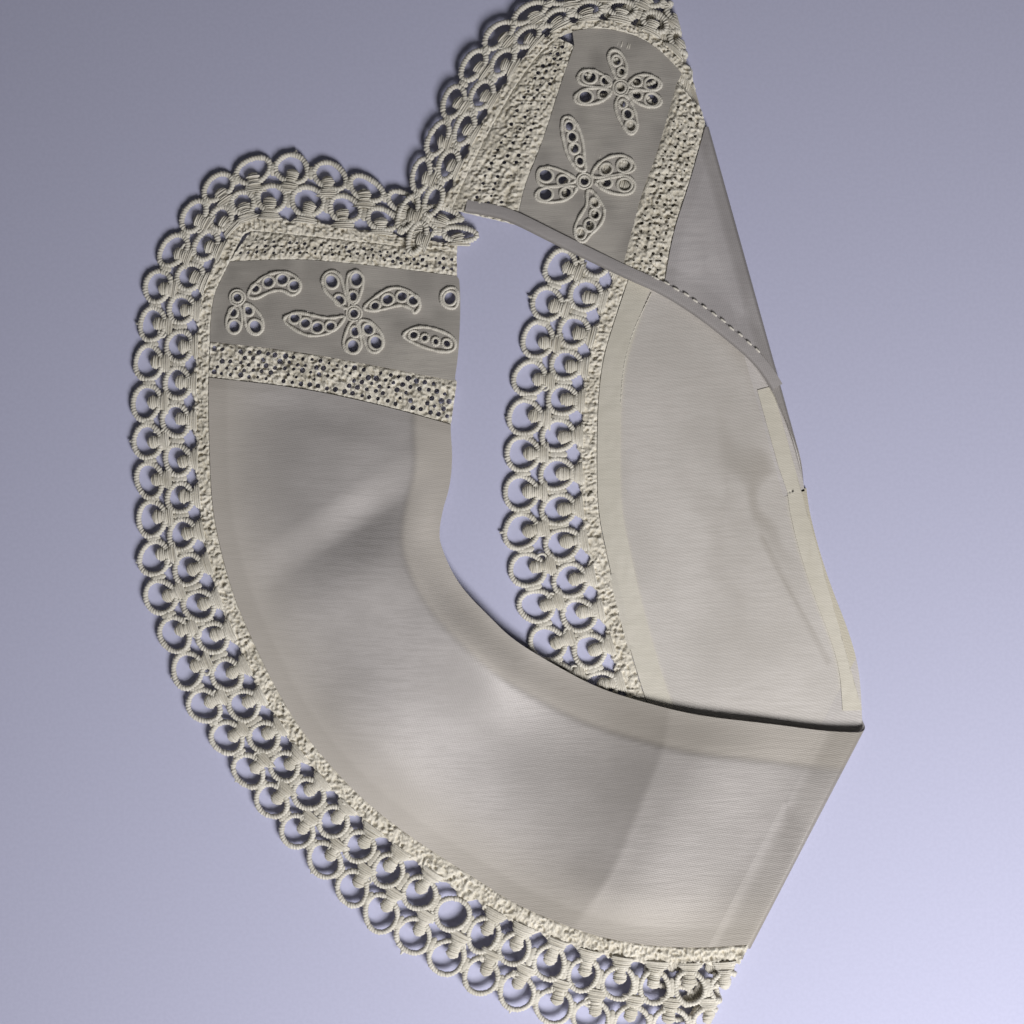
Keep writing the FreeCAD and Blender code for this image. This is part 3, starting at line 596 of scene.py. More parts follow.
def make_edging(name, strip, z_of, mat, mat_head, body, keep, seed, fold=None, rigid=6.4, head_keep=None):
    """Corded rings in two staggered rows, their stitched knobs, and the header.
    Rings that reach a fold go round it, in a piece of their own."""
    rs = np.random.RandomState(seed)
    rings_a, knobs_a, turned = Bag(), Bag(), Bag()
    total = strip.total

    def home(c, which):
        return turned if fold is not None and fold.d(c)[0] <= rigid else (rings_a, knobs_a)[which]

    def place(f, v, dz=0.0):
        p = strip.at(f, v)
        return np.column_stack([p, z_of(p) + dz])

    def bumpy(n, amount, run=3):
        w = rs.uniform(-1, 1, n + 2 * run)
        return 1 + amount * np.convolve(w, np.ones(run) / run, "same")[run:-run]

    cord = 0.84
    for i in range(-1, strip.count + (2 if fold is not None else 1)):
        for row, (f, v) in enumerate((((i + 0.5) / strip.count, OUTER), (i / strip.count, INNER))):
            c = strip.at(f, v)
            if not keep(c)[0]:
                continue
            rings, knobs = home(c, 0), home(c, 1)
            jitter = rs.uniform(-0.35, 0.35, 2)
            r = (5.2 if row == 0 else 5.0) * rs.uniform(0.96, 1.03)
            a = np.linspace(0, 2 * np.pi, 150, endpoint=False)
            wob = 1 + 0.035 * np.cos(2 * a + rs.uniform(0, 6)) + 0.025 * np.cos(3 * a + rs.uniform(0, 6))
            fs = f + (jitter[0] + r * wob * np.cos(a)) / total
            vs = v + (jitter[1] + r * wob * np.sin(a)) / FULL
            dz = 0.86 + 0.12 * np.cos(a + 1.0) + (0.0 if row == 0 else 0.10)
            pts = place(fs, vs, dz)
            thick = cord * bumpy(150, 0.22, 4)
            rings.sweep(pts, thick, thick * 0.95, closed=True, sides=8, ribs=0.15, rib_len=0.88, twist=1.0, start=rs.uniform(0, 6))
            # the knob: a cross-stitched stem with a round head
            if row == 1 and rs.rand() < 0.05:
                continue
            tilt = rs.uniform(-1.1, 1.1)
            tip = v - (0.5 if row == 0 else -0.5) / FULL + rs.uniform(-0.3, 0.3) / FULL
            base = v - (8.6 if row == 0 else 8.0) / FULL
            k = np.linspace(0, 1, 52)
            vv = tip + (base - tip) * k
            ff = f + (jitter[0] + tilt * (1 - k) ** 1.5) / total
            length = (tip - base) * FULL
            s = k * length
            half = 2.15 * np.sqrt(np.clip(1 - (1 - np.clip(s / 2.1, 0, 1)) ** 2, 0.02, 1))
            half = half * (1 - 0.20 * np.exp(-(((s - 4.3) / 1.4) ** 2)))
            half = (half + 1.5 * step(length * 0.50, length * 0.95, s)) * bumpy(52, 0.22, 4)
            high = np.where(s < 1.4, 0.5 + 0.6 * s / 1.4, 1.1) * (1 - 0.30 * step(length * 0.5, length, s)) * bumpy(52, 0.40)
            pts = place(ff, vv, 1.0)
            knobs.sweep(pts, half, high, sides=14, ribs=0.06, rib_len=0.62, twist=1.0, hgain=2.0, start=rs.uniform(0, 6))
        f = (i + 0.5) / strip.count
        # rings of one row are stitched together where they meet
        for v, at_f, size in ((OUTER - 0.02, i / strip.count, 1.7), (INNER, (i + 0.5) / strip.count, 2.0)):
            c = strip.at(at_f, v)
            if not keep(c)[0]:
                continue
            knobs = home(c, 1)
            k = np.linspace(-1, 1, 17)
            pts = place(np.full(17, at_f), v + k * size * 1.5 / FULL, 0.88)
            knobs.sweep(pts, (size * 0.66 * np.sqrt(np.clip(1 - k**2, 0.05, 1)) + 0.15) * bumpy(17, 0.25), 0.8 * np.sqrt(np.clip(1 - k**2, 0.1, 1)) * bumpy(17, 0.25), sides=10, ribs=0.12, rib_len=0.7)
        # short stray loops where the two rows are caught together
        for n_loop in range(3):
            lf = f + rs.uniform(-2.6, 2.6) / total
            lv = 0.60 + rs.uniform(-0.06, 0.06)
            c = strip.at(lf, lv)
            if keep(c)[0]:
                knobs = home(c, 1)
                a = np.linspace(0, rs.uniform(2.5, 5.0), 12) + rs.uniform(0, 6)
                q = rs.uniform(0.8, 1.5)
                pts = place(lf + q * np.cos(a) / total, lv + q * np.sin(a) / FULL, 1.15)
                knobs.sweep(pts, 0.42, 0.42, sides=6, ribs=0.1, rib_len=0.6)
        # a small picot on every third outer ring
        if i % 3 == 1:
            c = strip.at(f, OUTER)
            if keep(c)[0]:
                rings = home(c, 0)
                k = np.linspace(0, 1, 6)
                pts = place(np.full(6, f + rs.uniform(-0.6, 0.6) / total), OUTER + (5.5 + 1.3 * k) / FULL, 0.8)
                rings.sweep(pts, 0.7 * (1 - 0.7 * k), 0.6 * (1 - 0.7 * k), sides=6)
    # header: a dense knotted band, its outer side reaching to each inner knob
    nf = int(total / 0.33)
    f = np.linspace(0.0, 1.0, nf + 1)
    reach = 6.7 + 1.2 * np.cos(2 * np.pi * strip.count * f) + 0.7 * noise(f * total, 0 * f, 1.5, seed + 3) + 0.4 * noise(f * total, 0 * f, 0.7, seed + 4)
    across = np.linspace(0, 1, 21)
    fv, av = np.meshgrid(f, across, indexing="ij")
    vv = (0.1 + (reach[:, None] - 0.1) * av) / FULL
    p = strip.at(fv, vv).reshape(-1, 2)
    a = av.reshape(-1)
    z0 = z_of(p)
    top, low = grainy(p, a, z0, seed)
    xy = p + 0.10 * np.column_stack([noise(p[:, 0], p[:, 1], 0.8, seed + 5), noise(p[:, 0], p[:, 1], 0.8, seed + 6)])
    m = len(across)
    i0 = (np.arange(nf)[:, None] * m + np.arange(m - 1)[None, :]).reshape(-1)
    quads = np.stack([i0, i0 + 1, i0 + m + 1, i0 + m], 1)
    e1, e2 = xy[quads[0, 1]] - xy[quads[0, 0]], xy[quads[0, 3]] - xy[quads[0, 0]]
    if e1[0] * e2[1] - e1[1] * e2[0] < 0:
        quads = quads[:, ::-1]
    ok = (head_keep or keep)(xy[quads].mean(1))
    v, fcs, rim = thicken(xy, top, low, quads[ok].tolist())
    a_ring = rings_a.build(name + "_rings", mat, body, "corded_lace")
    a_knob = knobs_a.build(name + "_knobs", mat, body, "corded_lace")
    a_head = build(name + "_header", v, fcs, mat_head, body, rim=rim)
    out = [a_ring, a_knob, a_head]
    if turned.n:
        lace_top = float(z_of(fold.a[None])[0]) + 0.86
        turned.v = [wrap(x, fold, lace_top) for x in turned.v]
        o = turned.build(name + "_turned", mat, None, "corded_lace")
        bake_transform(o)
        out.append(o)
    return out


def grainy(p, a, z0, seed, flat=0.62):
    """Top and underside of a band of close knots; a runs 0 to 1 across it."""
    dome = np.sqrt(np.clip(1 - (2 * a - 1) ** 6, 0.0, 1))
    rough = 0.55 * noise(p[:, 0], p[:, 1], 0.72, seed + 7) + 0.30 * noise(p[:, 0], p[:, 1], 1.3, seed + 8)
    curl = 1 - 2.2 * np.abs(noise(p[:, 0] + 0.3 * p[:, 1], p[:, 1], 0.95, seed + 10))
    pit = -0.55 * step(0.42, 0.70, noise(p[:, 0], p[:, 1], 1.15, seed + 9))
    top = z0 + 0.45 + dome * (flat + 0.8 * rough + 0.28 * curl + pit)
    low = z0 + 0.15
    return np.maximum(top, low + 0.06), low


def knotted_band(name, rail_a, rail_b, z_of, mat, body, seed, rows, hole_r=0.85, pitch=2.75, keep=None):
    """A dense knotted insertion: a crinkled strip with rows of small holes."""
    na = int(max(run_of(rail_a)[-1], run_of(rail_b)[-1]) / 0.30)
    width = float(np.hypot(*(rail_a[len(rail_a) // 2] - rail_b[len(rail_b) // 2])))
    nb = max(8, int(width / 0.30))
    a, b = resample(rail_a, n=na), resample(rail_b, n=na)
    t = np.linspace(0, 1, nb + 1)
    p = (a[:, None, :] * (1 - t)[None, :, None] + b[:, None, :] * t[None, :, None]).reshape(-1, 2)
    rs = np.random.RandomState(seed)
    holes = []
    steps = int(run_of(rail_a)[-1] / pitch)
    for r_i, r in enumerate(rows):
        for k in range(steps):
            q = (k + 0.5 + 0.5 * (r_i % 2)) / steps
            if q >= 0.985 or q <= 0.015:
                continue
            i = int(q * na)
            c = a[i] * (1 - r) + b[i] * r + rs.uniform(-0.25, 0.25, 2)
            if rs.rand() < 0.88:
                holes.append((c, hole_r * rs.uniform(0.6, 1.1)))
    xy = p.copy()
    xy += 0.1 * np.column_stack([noise(p[:, 0], p[:, 1], 0.8, seed + 1), noise(p[:, 0], p[:, 1], 0.8, seed + 2)])
    inner = np.zeros(len(p), bool)
    for c, r in holes:
        d = xy - c
        q = np.hypot(d[:, 0], d[:, 1])
        near = (q < r + 0.26) & (q > r - 0.2)
        xy[near] = c + d[near] / q[near][:, None] * r
        inner |= q <= r - 0.2
    z0 = z_of(xy)
    top, low = grainy(xy, np.tile(t, na + 1), z0, seed, 0.5)
    m = nb + 1
    i0 = (np.arange(na)[:, None] * m + np.arange(nb)[None, :]).reshape(-1)
    quads = np.stack([i0, i0 + 1, i0 + m + 1, i0 + m], 1)
    e1, e2 = xy[quads[0, 1]] - xy[quads[0, 0]], xy[quads[0, 3]] - xy[quads[0, 0]]
    if e1[0] * e2[1] - e1[1] * e2[0] < 0:
        quads = quads[:, ::-1]
    ok = ~inner[quads].any(1)
    cen = xy[quads].mean(1)
    for c, r in holes:
        ok &= np.hypot(*(cen - c).T) > r * 0.9
    if keep:
        ok &= keep(cen)
    v, fcs, rim = thicken(xy, top, low, quads[ok].tolist())
    return build(name, v, fcs, mat, body, rim=rim)

# ---------------------------------------------------------------- materials


def material(name):
    m = bpy.data.materials.new(name)
    m.use_nodes = True
    nt = m.node_tree
    nt.nodes.clear()
    out = nt.nodes.new("ShaderNodeOutputMaterial")
    bsdf = nt.nodes.new("ShaderNodeBsdfPrincipled")
    nt.links.new(bsdf.outputs[0], out.inputs[0])
    return m, nt, bsdf


def node(nt, kind, **inputs):
    n = nt.nodes.new("ShaderNode" + kind)
    for k, v in inputs.items():
        if k in n.inputs:
            n.inputs[k].default_value = v
        else:
            setattr(n, k, v)
    return n


def coords(nt, scale, turn=0.0, stretch=(1, 1, 1)):
    tc = nt.nodes.new("ShaderNodeTexCoord")
    mp = nt.nodes.new("ShaderNodeMapping")
    mp.inputs["Scale"].default_value = tuple(scale * s for s in stretch)
    mp.inputs["Rotation"].default_value = (0, 0, math.radians(turn))
    nt.links.new(tc.outputs["Object"], mp.inputs["Vector"])
    return mp.outputs["Vector"]


def mix(nt, fac, a, b, mode="MIX"):
    n = nt.nodes.new("ShaderNodeMix")
    n.data_type = "RGBA"
    n.blend_type = mode
    for sock, value in ((n.inputs[0], fac), (n.inputs[6], a), (n.inputs[7], b)):
        if hasattr(value, "is_output"):
            nt.links.new(value, sock)
        elif isinstance(value, (int, float)):
            sock.default_value = value
        else:
            sock.default_value = (*value, 1)
    return n.outputs[2]


def ramp(nt, value, lo, hi, a=0.0, b=1.0):
    n = node(nt, "MapRange")
    n.interpolation_type = "SMOOTHSTEP"
    for i, v in enumerate((lo, hi, a, b)):
        n.inputs[1 + i].default_value = v
    nt.links.new(value, n.inputs[0])
    return n.outputs[0]


def maths(nt, op, a, b):
    n = node(nt, "Math")
    n.operation = op
    for sock, v in ((n.inputs[0], a), (n.inputs[1], b)):
        if hasattr(v, "is_output"):
            nt.links.new(v, sock)
        else:
            sock.default_value = v
    return n.outputs[0]


def attribute(nt, key):
    n = node(nt, "Attribute")
    n.attribute_name = key
    return n.outputs["Fac"]


def cloth(name, tone, shade, warm, dark, turn=14.0, rib=0.62, rough=0.48, sheen=0.15, depth=0.05, gloss=0.5, satin=0.0):
    """Slubbed satin organza: fine ribs across, finer threads along, soft mottle."""
    m, nt, b = material(name)
    L = nt.links.new
    at = coords(nt, 1000.0, turn)
    ribs = node(nt, "TexWave", Scale=0.314 / rib, Distortion=2.2, Detail=2.0)
    ribs.inputs["Detail Scale"].default_value = 1.2
    ribs.bands_direction = "Y"
    L(at, ribs.inputs["Vector"])
    threads = node(nt, "TexWave", Scale=0.62, Distortion=0.9, Detail=2.0)
    threads.inputs["Detail Scale"].default_value = 1.5
    threads.bands_direction = "X"
    L(at, threads.inputs["Vector"])
    slub = node(nt, "TexNoise", Scale=1.0, Detail=4.0, Roughness=0.62)
    L(coords(nt, 1000.0, turn, (0.10, 0.95, 0.3)), slub.inputs["Vector"])
    mottle = node(nt, "TexNoise", Scale=1.0, Detail=3.0, Roughness=0.5)
    L(coords(nt, 36.0, turn), mottle.inputs["Vector"])
    grain = node(nt, "TexNoise", Scale=1.0, Detail=2.0)
    L(coords(nt, 2100.0), grain.inputs["Vector"])
    col = mix(nt, ramp(nt, mottle.outputs[0], 0.30, 0.72), tone, shade)
    col = mix(nt, ramp(nt, slub.outputs[0], 0.40, 0.66, 0.0, 0.5), col, shade)
    col = mix(nt, maths(nt, "MULTIPLY", ribs.outputs["Fac"], 0.14), col, (1.12, 1.12, 1.12), "MULTIPLY")
    col = mix(nt, ramp(nt, grain.outputs[0], 0.35, 0.75, 0.0, 0.30), col, (0.82, 0.81, 0.80), "MULTIPLY")
    col = mix(nt, attribute(nt, "warm"), col, warm)
    # the dark attribute multiplies in painted shade at folds, creases and under edges, along with layers showing
    # through and random tone
    col = mix(nt, attribute(nt, "dark"), col, dark, "MULTIPLY")
    L(col, b.inputs["Base Color"])
    b.inputs["Roughness"].default_value = rough
    b.inputs["Specular IOR Level"].default_value = gloss
    b.inputs["Sheen Weight"].default_value = sheen
    b.inputs["Sheen Roughness"].default_value = 0.4
    b.inputs["Anisotropic"].default_value = 0.45
    b.inputs["Metallic"].default_value = satin
    h = maths(nt, "MULTIPLY", ribs.outputs["Fac"], 0.4)
    h = maths(nt, "ADD", h, maths(nt, "MULTIPLY", slub.outputs[0], 1.6))
    h = maths(nt, "ADD", h, maths(nt, "MULTIPLY", threads.outputs["Fac"], 0.25))
    h = maths(nt, "ADD", h, maths(nt, "MULTIPLY", grain.outputs[0], 0.3))
    bump = node(nt, "Bump", Strength=0.75, Distance=depth * 0.001)
    L(h, bump.inputs["Height"])
    L(bump.outputs[0], b.inputs["Normal"])
    return m


def thread(name, tone, shade, highlight_colour, fine=2.4, rough=0.62, sheen=0.2, strength=0.8):
    """Cotton cord or satin stitch: fine plies, uneven dye, painted highlight on high points and painted shade in
    hollows.
    """
    m, nt, b = material(name)
    L = nt.links.new
    mottle = node(nt, "TexNoise", Scale=1.0, Detail=3.0)
    L(coords(nt, 140.0), mottle.inputs["Vector"])
    grain = node(nt, "TexNoise", Scale=1.0, Detail=3.0, Roughness=0.6)
    L(coords(nt, 1000.0 * fine), grain.inputs["Vector"])
    ply = node(nt, "TexVoronoi", Scale=1.0)
    L(coords(nt, 1000.0 * fine * 0.9, 30.0, (1, 0.4, 1)), ply.inputs["Vector"])
    col = mix(nt, ramp(nt, mottle.outputs[0], 0.32, 0.70), tone, shade)
    col = mix(nt, ramp(nt, grain.outputs[0], 0.30, 0.70, 0.0, 0.55), col, shade)
    geo = node(nt, "NewGeometry")
    # painted highlight on convex high points, and painted shade in the hollows between plies and cords
    col = mix(nt, ramp(nt, geo.outputs["Pointiness"], 0.50, 0.60, 0.0, 0.55), col, highlight_colour)
    col = mix(nt, ramp(nt, geo.outputs["Pointiness"], 0.49, 0.40, 0.0, 0.75), col, (0.55, 0.52, 0.44), "MULTIPLY")
    L(col, b.inputs["Base Color"])
    b.inputs["Roughness"].default_value = rough
    b.inputs["Sheen Weight"].default_value = sheen
    b.inputs["Sheen Roughness"].default_value = 0.5
    b.inputs["Specular IOR Level"].default_value = 0.35
    h = maths(nt, "ADD", maths(nt, "MULTIPLY", grain.outputs[0], 0.8), maths(nt, "MULTIPLY", ply.outputs["Distance"], 0.8))
    bump = node(nt, "Bump", Strength=strength, Distance=0.00012)
    L(h, bump.inputs["Height"])
    L(bump.outputs[0], b.inputs["Normal"])
    return m


# the fifth colour of each cloth is multiplied in by the dark attribute: painted shade, show-through and tone
M_BODY = cloth("satin_organza_body", TONE_BODY, SHADE_BODY, WARM, (0.50, 0.49, 0.47), turn=14, satin=0.10, gloss=0.3)
M_PANEL = cloth("satin_organza_panel", TONE_PANEL, SHADE_PANEL, WARM, (0.6, 0.6, 0.6), turn=8, rib=0.6)
M_FLAP = cloth("satin_organza_flap", TONE_FLAP, SHADE_FLAP, WARM, (0.5, 0.49, 0.47), turn=-72, satin=0.08)
M_REVERSE = cloth("facing_cloth_reverse", TONE_REV, SHADE_REV, WARM_REV, (0.62, 0.60, 0.56), turn=20, rib=0.8, rough=0.45, depth=0.05)
M_TAPE = cloth("facing_cloth_tape", TONE_TAPE, SHADE_TAPE, WARM_REV, (0.7, 0.68, 0.6), turn=70, rib=0.7, rough=0.55, depth=0.06)
M_LACE = thread("corded_lace_cord", LACE_TONE, LACE_SHADE, LACE_HIGHLIGHT)
M_MESH = thread("corded_lace_knots", MESH_TONE, MESH_SHADE, LACE_HIGHLIGHT, fine=3.0, strength=1.0)
M_STITCH = thread("satin_stitch_thread", STITCH_TONE, STITCH_SHADE, STITCH_HIGHLIGHT, fine=2.8, rough=0.5, sheen=0.35)

# ---------------------------------------------------------------- cloth

made = {}
CLOTH_T = 0.35
SPACING = 1.15


def rail_part(rail, start, end):
    """The run of a rail from near start to near end, with exact ends."""
    rail = arr(rail)
    i = int(np.argmin(np.hypot(*(rail - start).T)))
    j = int(np.argmin(np.hypot(*(rail - end).T)))
    run = rail[min(i, j): max(i, j) + 1]
    run = run if i <= j else run[::-1]
    mid = run[1:-1] if len(run) > 2 else run[:0]
    return np.vstack([[start], mid, [end]])


def join(*runs):
    """One closed outline from runs that meet end to end."""
    out = []
    for r in runs:
        r = arr(r)
        if out and np.hypot(*(out[-1][-1] - r[0])) < 0.02:
            r = r[1:]
        out.append(r)
    pts = np.vstack(out)
    keep = [0]
    for k in range(1, len(pts)):
        if np.hypot(*(pts[k] - pts[keep[-1]])) > 0.05:
            keep.append(k)
    if np.hypot(*(pts[keep[-1]] - pts[0])) < 0.05:
        keep.pop()
    return pts[keep]


class Roll:
    """Cloth turned over a fold: flat above, round the fold, flat below."""

    def __init__(self, fold, depth, centre, up0, up1, lo0, lo1, step_mm=1.5):
        self.fold, self.depth, self.centre = fold, depth, centre

        def s_of(rail, d):
            return float((fold.cross(arr(rail), d) - fold.a) @ fold.u)

        flat = np.linspace(depth, centre, 8)
        arc = np.linspace(0, np.pi, 17)[1:-1]
        lines = [("up", d, 0.0, s_of(up0, d), s_of(up1, d)) for d in flat]
        a0, a1 = s_of(up0, centre), s_of(up1, centre)
        b0, b1 = s_of(lo0, centre), s_of(lo1, centre)
        for t in arc:
            k = t / np.pi
            lines.append(("arc", centre, t, a0 + (b0 - a0) * k, a1 + (b1 - a1) * k))
        lines += [("low", d, np.pi, s_of(lo0, d), s_of(lo1, d)) for d in flat[::-1]]
        self.lines = lines
        self.n = int(abs(a1 - a0) / step_mm)

    def row(self, which):
        """Plan points of the first ("up") or last ("low") line."""
        kind, d, t, s0, s1 = self.lines[0 if which == "up" else -1]
        s = np.linspace(s0, s1, self.n + 1)
        return self.fold.a + s[:, None] * self.fold.u + d * self.fold.inward

    def make(self, name, z_up, z_low, thick, mat, attrs=None):
        """z_up and z_low give the mid heights of the cloth above and below."""
        f = self.fold
        mids, norms = [], []
        for kind, d, t, s0, s1 in self.lines:
            s = np.linspace(s0, s1, self.n + 1)
            edge = f.a + s[:, None] * f.u + self.centre * f.inward
            zt, zb = z_up(edge), z_low(edge)
            r, zc = (zt - zb) / 2, (zt + zb) / 2
            if kind == "arc":
                p = edge - f.inward * (r * math.sin(t))[:, None]
                z = zc + r * math.cos(t)
                nrm = np.column_stack([np.tile(-f.inward * math.sin(t), (len(p), 1)), np.full(len(p), math.cos(t))])
            else:
                p = f.a + s[:, None] * f.u + d * f.inward
                z = z_up(p) if kind == "up" else z_low(p)
                nrm = np.tile([0, 0, 1.0 if kind == "up" else -1.0], (len(p), 1))
            mids.append(np.column_stack([p, z]))
            norms.append(nrm)
        mid, nrm = arr(mids), arr(norms)
        m, n = mid.shape[:2]
        outer, inner = mid + nrm * thick / 2, mid - nrm * thick / 2
        idx = np.arange(m * n).reshape(m, n)
        q = np.stack([idx[:-1, :-1], idx[:-1, 1:], idx[1:, 1:], idx[1:, :-1]], -1).reshape(-1, 4)
        v = np.vstack([outer.reshape(-1, 3), inner.reshape(-1, 3)])
        e1, e2 = v[q[0, 1]] - v[q[0, 0]], v[q[0, 3]] - v[q[0, 0]]
        if np.cross(e1, e2)[2] < 0:
            q = q[:, ::-1]
        faces = q.tolist() + (q[:, ::-1] + m * n).tolist()
        rim = loops_of(q.tolist())
        for a, b in rim:
            faces.append([b, a, m * n + a, m * n + b])
        rim = rim + [(m * n + a, m * n + b) for a, b in rim]
        plan = v[:, :2]
        o = build(name, v, faces, mat, None, attrs={k: g(plan) for k, g in (attrs or {}).items()}, rim=rim)
        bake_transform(o)
        made[name] = (o, float(np.ptp(arr([l[3] for l in self.lines] + [l[4] for l in self.lines]))), 2 * self.depth + math.pi * 1.0)
        return o


def flat_cloth(name, outline, holes, z_mid, thick, mat, body, attrs=None, spacing=SPACING, seed=5):
    xy, tris = triangulate(outline, holes, spacing, seed)
    z = z_mid(xy)
    v, f, rim = thicken(xy, z + thick / 2, z - thick / 2, tris)
    both = np.vstack([xy, xy])
    o = build(name, v, f, mat, body, attrs={k: g(both) for k, g in (attrs or {}).items()}, rim=rim)
    area = 0.0
    for t in tris:
        a, b, c = xy[t[0]], xy[t[1]], xy[t[2]]
        area += abs((b[0] - a[0]) * (c[1] - a[1]) - (b[1] - a[1]) * (c[0] - a[0])) / 2
    size = xy.max(0) - xy.min(0)
    made[name] = (o, size[0], size[1], area)
    return o


def held_back(p, folds):
    """Points moved off the folds, so a strip ends short of them."""
    p = arr(p).copy()
    for fold, d0 in folds:
        d = fold.d(p)
        p += fold.inward * np.maximum(d0 - d, 0)[:, None]
    return p


def ribbon(name, rail_a, rail_b, z_mid, thick, mat, body, across=6, attrs=None, along=1.1, folds=()):
    n = int(run_of(arr(rail_a))[-1] / along)
    a, b = resample(rail_a, n=n), resample(rail_b, n=n)
    t = np.linspace(0, 1, across + 1)
    p = (a[:, None, :] * (1 - t)[None, :, None] + b[:, None, :] * t[None, :, None]).reshape(-1, 2)
    p = held_back(p, folds)
    m = across + 1
    i0 = (np.arange(n)[:, None] * m + np.arange(across)[None, :]).reshape(-1)
    q = np.stack([i0, i0 + 1, i0 + m + 1, i0 + m], 1)
    e1, e2 = p[q[0, 1]] - p[q[0, 0]], p[q[0, 3]] - p[q[0, 0]]
    if e1[0] * e2[1] - e1[1] * e2[0] < 0:
        q = q[:, ::-1]
    z = z_mid(p)
    edge = np.minimum(np.tile(t, n + 1), 1 - np.tile(t, n + 1)) * 2
    half = thick / 2 * (0.45 + 0.55 * np.sqrt(np.clip(edge * 2, 0, 1)))
    v, f, rim = thicken(p, z + half, z - half, q.tolist())
    both = np.vstack([p, p])
    o = build(name, v, f, mat, body, attrs={k: g(both) for k, g in (attrs or {}).items()}, rim=rim)
    made[name] = (o, run_of(arr(rail_a))[-1], float(np.hypot(*(a[n // 2] - b[n // 2]))))
    return o


def mid(base, lo, hi, relief):
    return lambda p: base(p) + (lo + hi) / 2 + relief(p)


zl = lambda p: z_left(p)
zr = lambda p: np.full(len(arr(p).reshape(-1, 2)), RIGHT_Z)
zb = lambda p: np.zeros(len(arr(p).reshape(-1, 2)))
none = lambda p: np.zeros(len(arr(p).reshape(-1, 2)))

roll_l = Roll(fold_l, FOLD_D, 1.66, left_neck, left_seam, back_neck, back_seam)

body_front = smooth(LEFT_BODY_FRONT)
panel_front, panel_rear = smooth(LEFT_PANEL_FRONT), smooth(LEFT_PANEL_REAR)
front_line = smooth(LEFT_FRONT)[::-1]
r_body_front, r_panel_front, r_panel_rear = smooth(RIGHT_BODY_FRONT), smooth(RIGHT_PANEL_FRONT), smooth(RIGHT_PANEL_REAR)
r_front = smooth(RIGHT_FRONT)

# the right fold's roll starts where the body cloth meets the fold
start_r = float((fold_r.cross(r_body_front[::-1], 1.15) - fold_r.a) @ fold_r.u)
top_r = fold_r.a + fold_r.u * start_r
roll_r = Roll(fold_r, FOLD_D2, 1.15, r_body_front[::-1], right_neck, arr([top_r + fold_r.inward * 20, top_r]), arr(RIGHT_CUT)[::-1])


def edge_run(p, step_mm=1.1):
    return resample(p, step=step_mm)


up_l, low_l = roll_l.row("up"), roll_l.row("low")      # neck end first
up_r, low_r = roll_r.row("up"), roll_r.row("low")      # top end first

left_outline = join(
    edge_run(body_front),
    edge_run(rail_part(left_neck, body_front[-1], up_l[0])),
    up_l,
    edge_run(rail_part(left_seam, up_l[-1], body_front[0])),
)
corner_r = fold_r.cross(back_seam[::-1], 0.6)
back_outline = join(
    edge_run(rail_part(back_seam, corner_r, low_l[-1])),
    low_l[::-1],
    edge_run(rail_part(back_neck, low_l[0], back_neck[0])),
    edge_run(arr([back_neck[0], low_r[-1]])),
    low_r[::-1],
    edge_run(arr([low_r[0], top_r + fold_r.inward * 0.6])),
    edge_run(arr([top_r + fold_r.inward * 0.6, corner_r])),
)
right_outline = join(
    edge_run(rail_part(r_body_front, up_r[0], r_body_front[-1])),
    edge_run(rail_part(right_neck, r_body_front[-1], up_r[-1])),
    up_r[::-1],
)


# zones that show through the cloth and zones of painted shade: warm is 0 to 1, dark is 0 to 1
def zone(value, edge, soft=0.8):
    return 1 - step(edge - soft, edge + soft, value)


# painted shade: the cloth is darkened within about a millimetre of each fold edge, where it turns away from the light
def crease_shade_l(p):
    return 0.9 * zone(fold_l.d(p), 1.1, 0.8)


def crease_shade_r(p):
    return 0.9 * zone(fold_r.d(p), 1.0, 0.8)


# Dark mask of the left front: facing and seam allowance showing through, plus painted shade along the fold, at its edge
# and toward it
def left_layers_and_shade(p):
    n = distance(p, left_neck)
    s = distance(p, left_seam)
    k = 0.30 * zone(np.abs(n - 11.6), 0.9, 0.7) + 0.05 * zone(n, 11.3, 0.8)
    # seam allowance showing through; painted shade in a 9 mm band along the fold for the rolled edge
    k = k + 0.16 * zone(s, 5.6, 0.8) + 0.30 * zone(fold_l.d(p), 9.3, 1.2)
    k = k + 0.18 * zone(distance(p, body_front), 3.0, 0.8)
    # painted shade: the region over the back section and a fading band left of STEP are darkened, partly for the layers
    # below showing through the sheer cloth and partly as painted shade of the slopes and the fall-off of the light
    k = k + 0.62 * step(-1.0, 1.0, -side_of(p, STEP)) + 0.72 * (1 - step(-1.0, 1.0, -side_of(p, STEP))) * step(-60.0, -8.0, -side_of(p, STEP))
    return np.clip(np.maximum(k, crease_shade_l(p)), 0, 1)


def left_warm(p):
    s = distance(p, left_seam)
    return np.clip(0.55 * np.exp(-((s / 16.0) ** 2)) + 0.5 * zone(distance(p, left_neck), 11.3, 1.0), 0, 1)


def back_painted_shade(p):
    q = arr(p)
    # painted shade: darker wavy bands in a patch near (86, 11), for the shade of ripples in the cloth
    wave = np.sin(q[:, 0] / 3.1 + 2.2 * noise(q[:, 0], q[:, 1], 11.0, 71) + q[:, 1] / 9.0)
    patch = lump(q, 86.0, 11.0, 17.0, 30.0, -14.0, 1.0)
    k = 0.55 * np.clip(wave, 0, 1) * patch + 0.22 * patch
    # painted shade along both folds
    k = k + 0.45 * zone(fold_r.d(q), 4.5, 1.5) + 0.25 * zone(fold_l.d(q), 9.0, 2.0)
    # painted shadow: a band just outside the flap's neck edge, where the raised flap shades the back
    k = k + 0.35 * zone(distance(q, smooth([(66.0, 63.0), (76.0, 52.0), (86.0, 36.0), (93.0, 16.0)])), 4.0, 3.0)
    # painted shade in the creases
    for line in CREASES:
        k = k + 0.45 * zone(distance(q, arr(line)), 0.7, 0.7)
    return np.clip(k, 0, 1)


def back_warm(p):
    return np.clip(0.9 * zone(distance(p, back_neck), 6.0, 0.9) + 0.55 * zone(distance(p, back_seam), 7.2, 0.8) + 0.15, 0, 1)


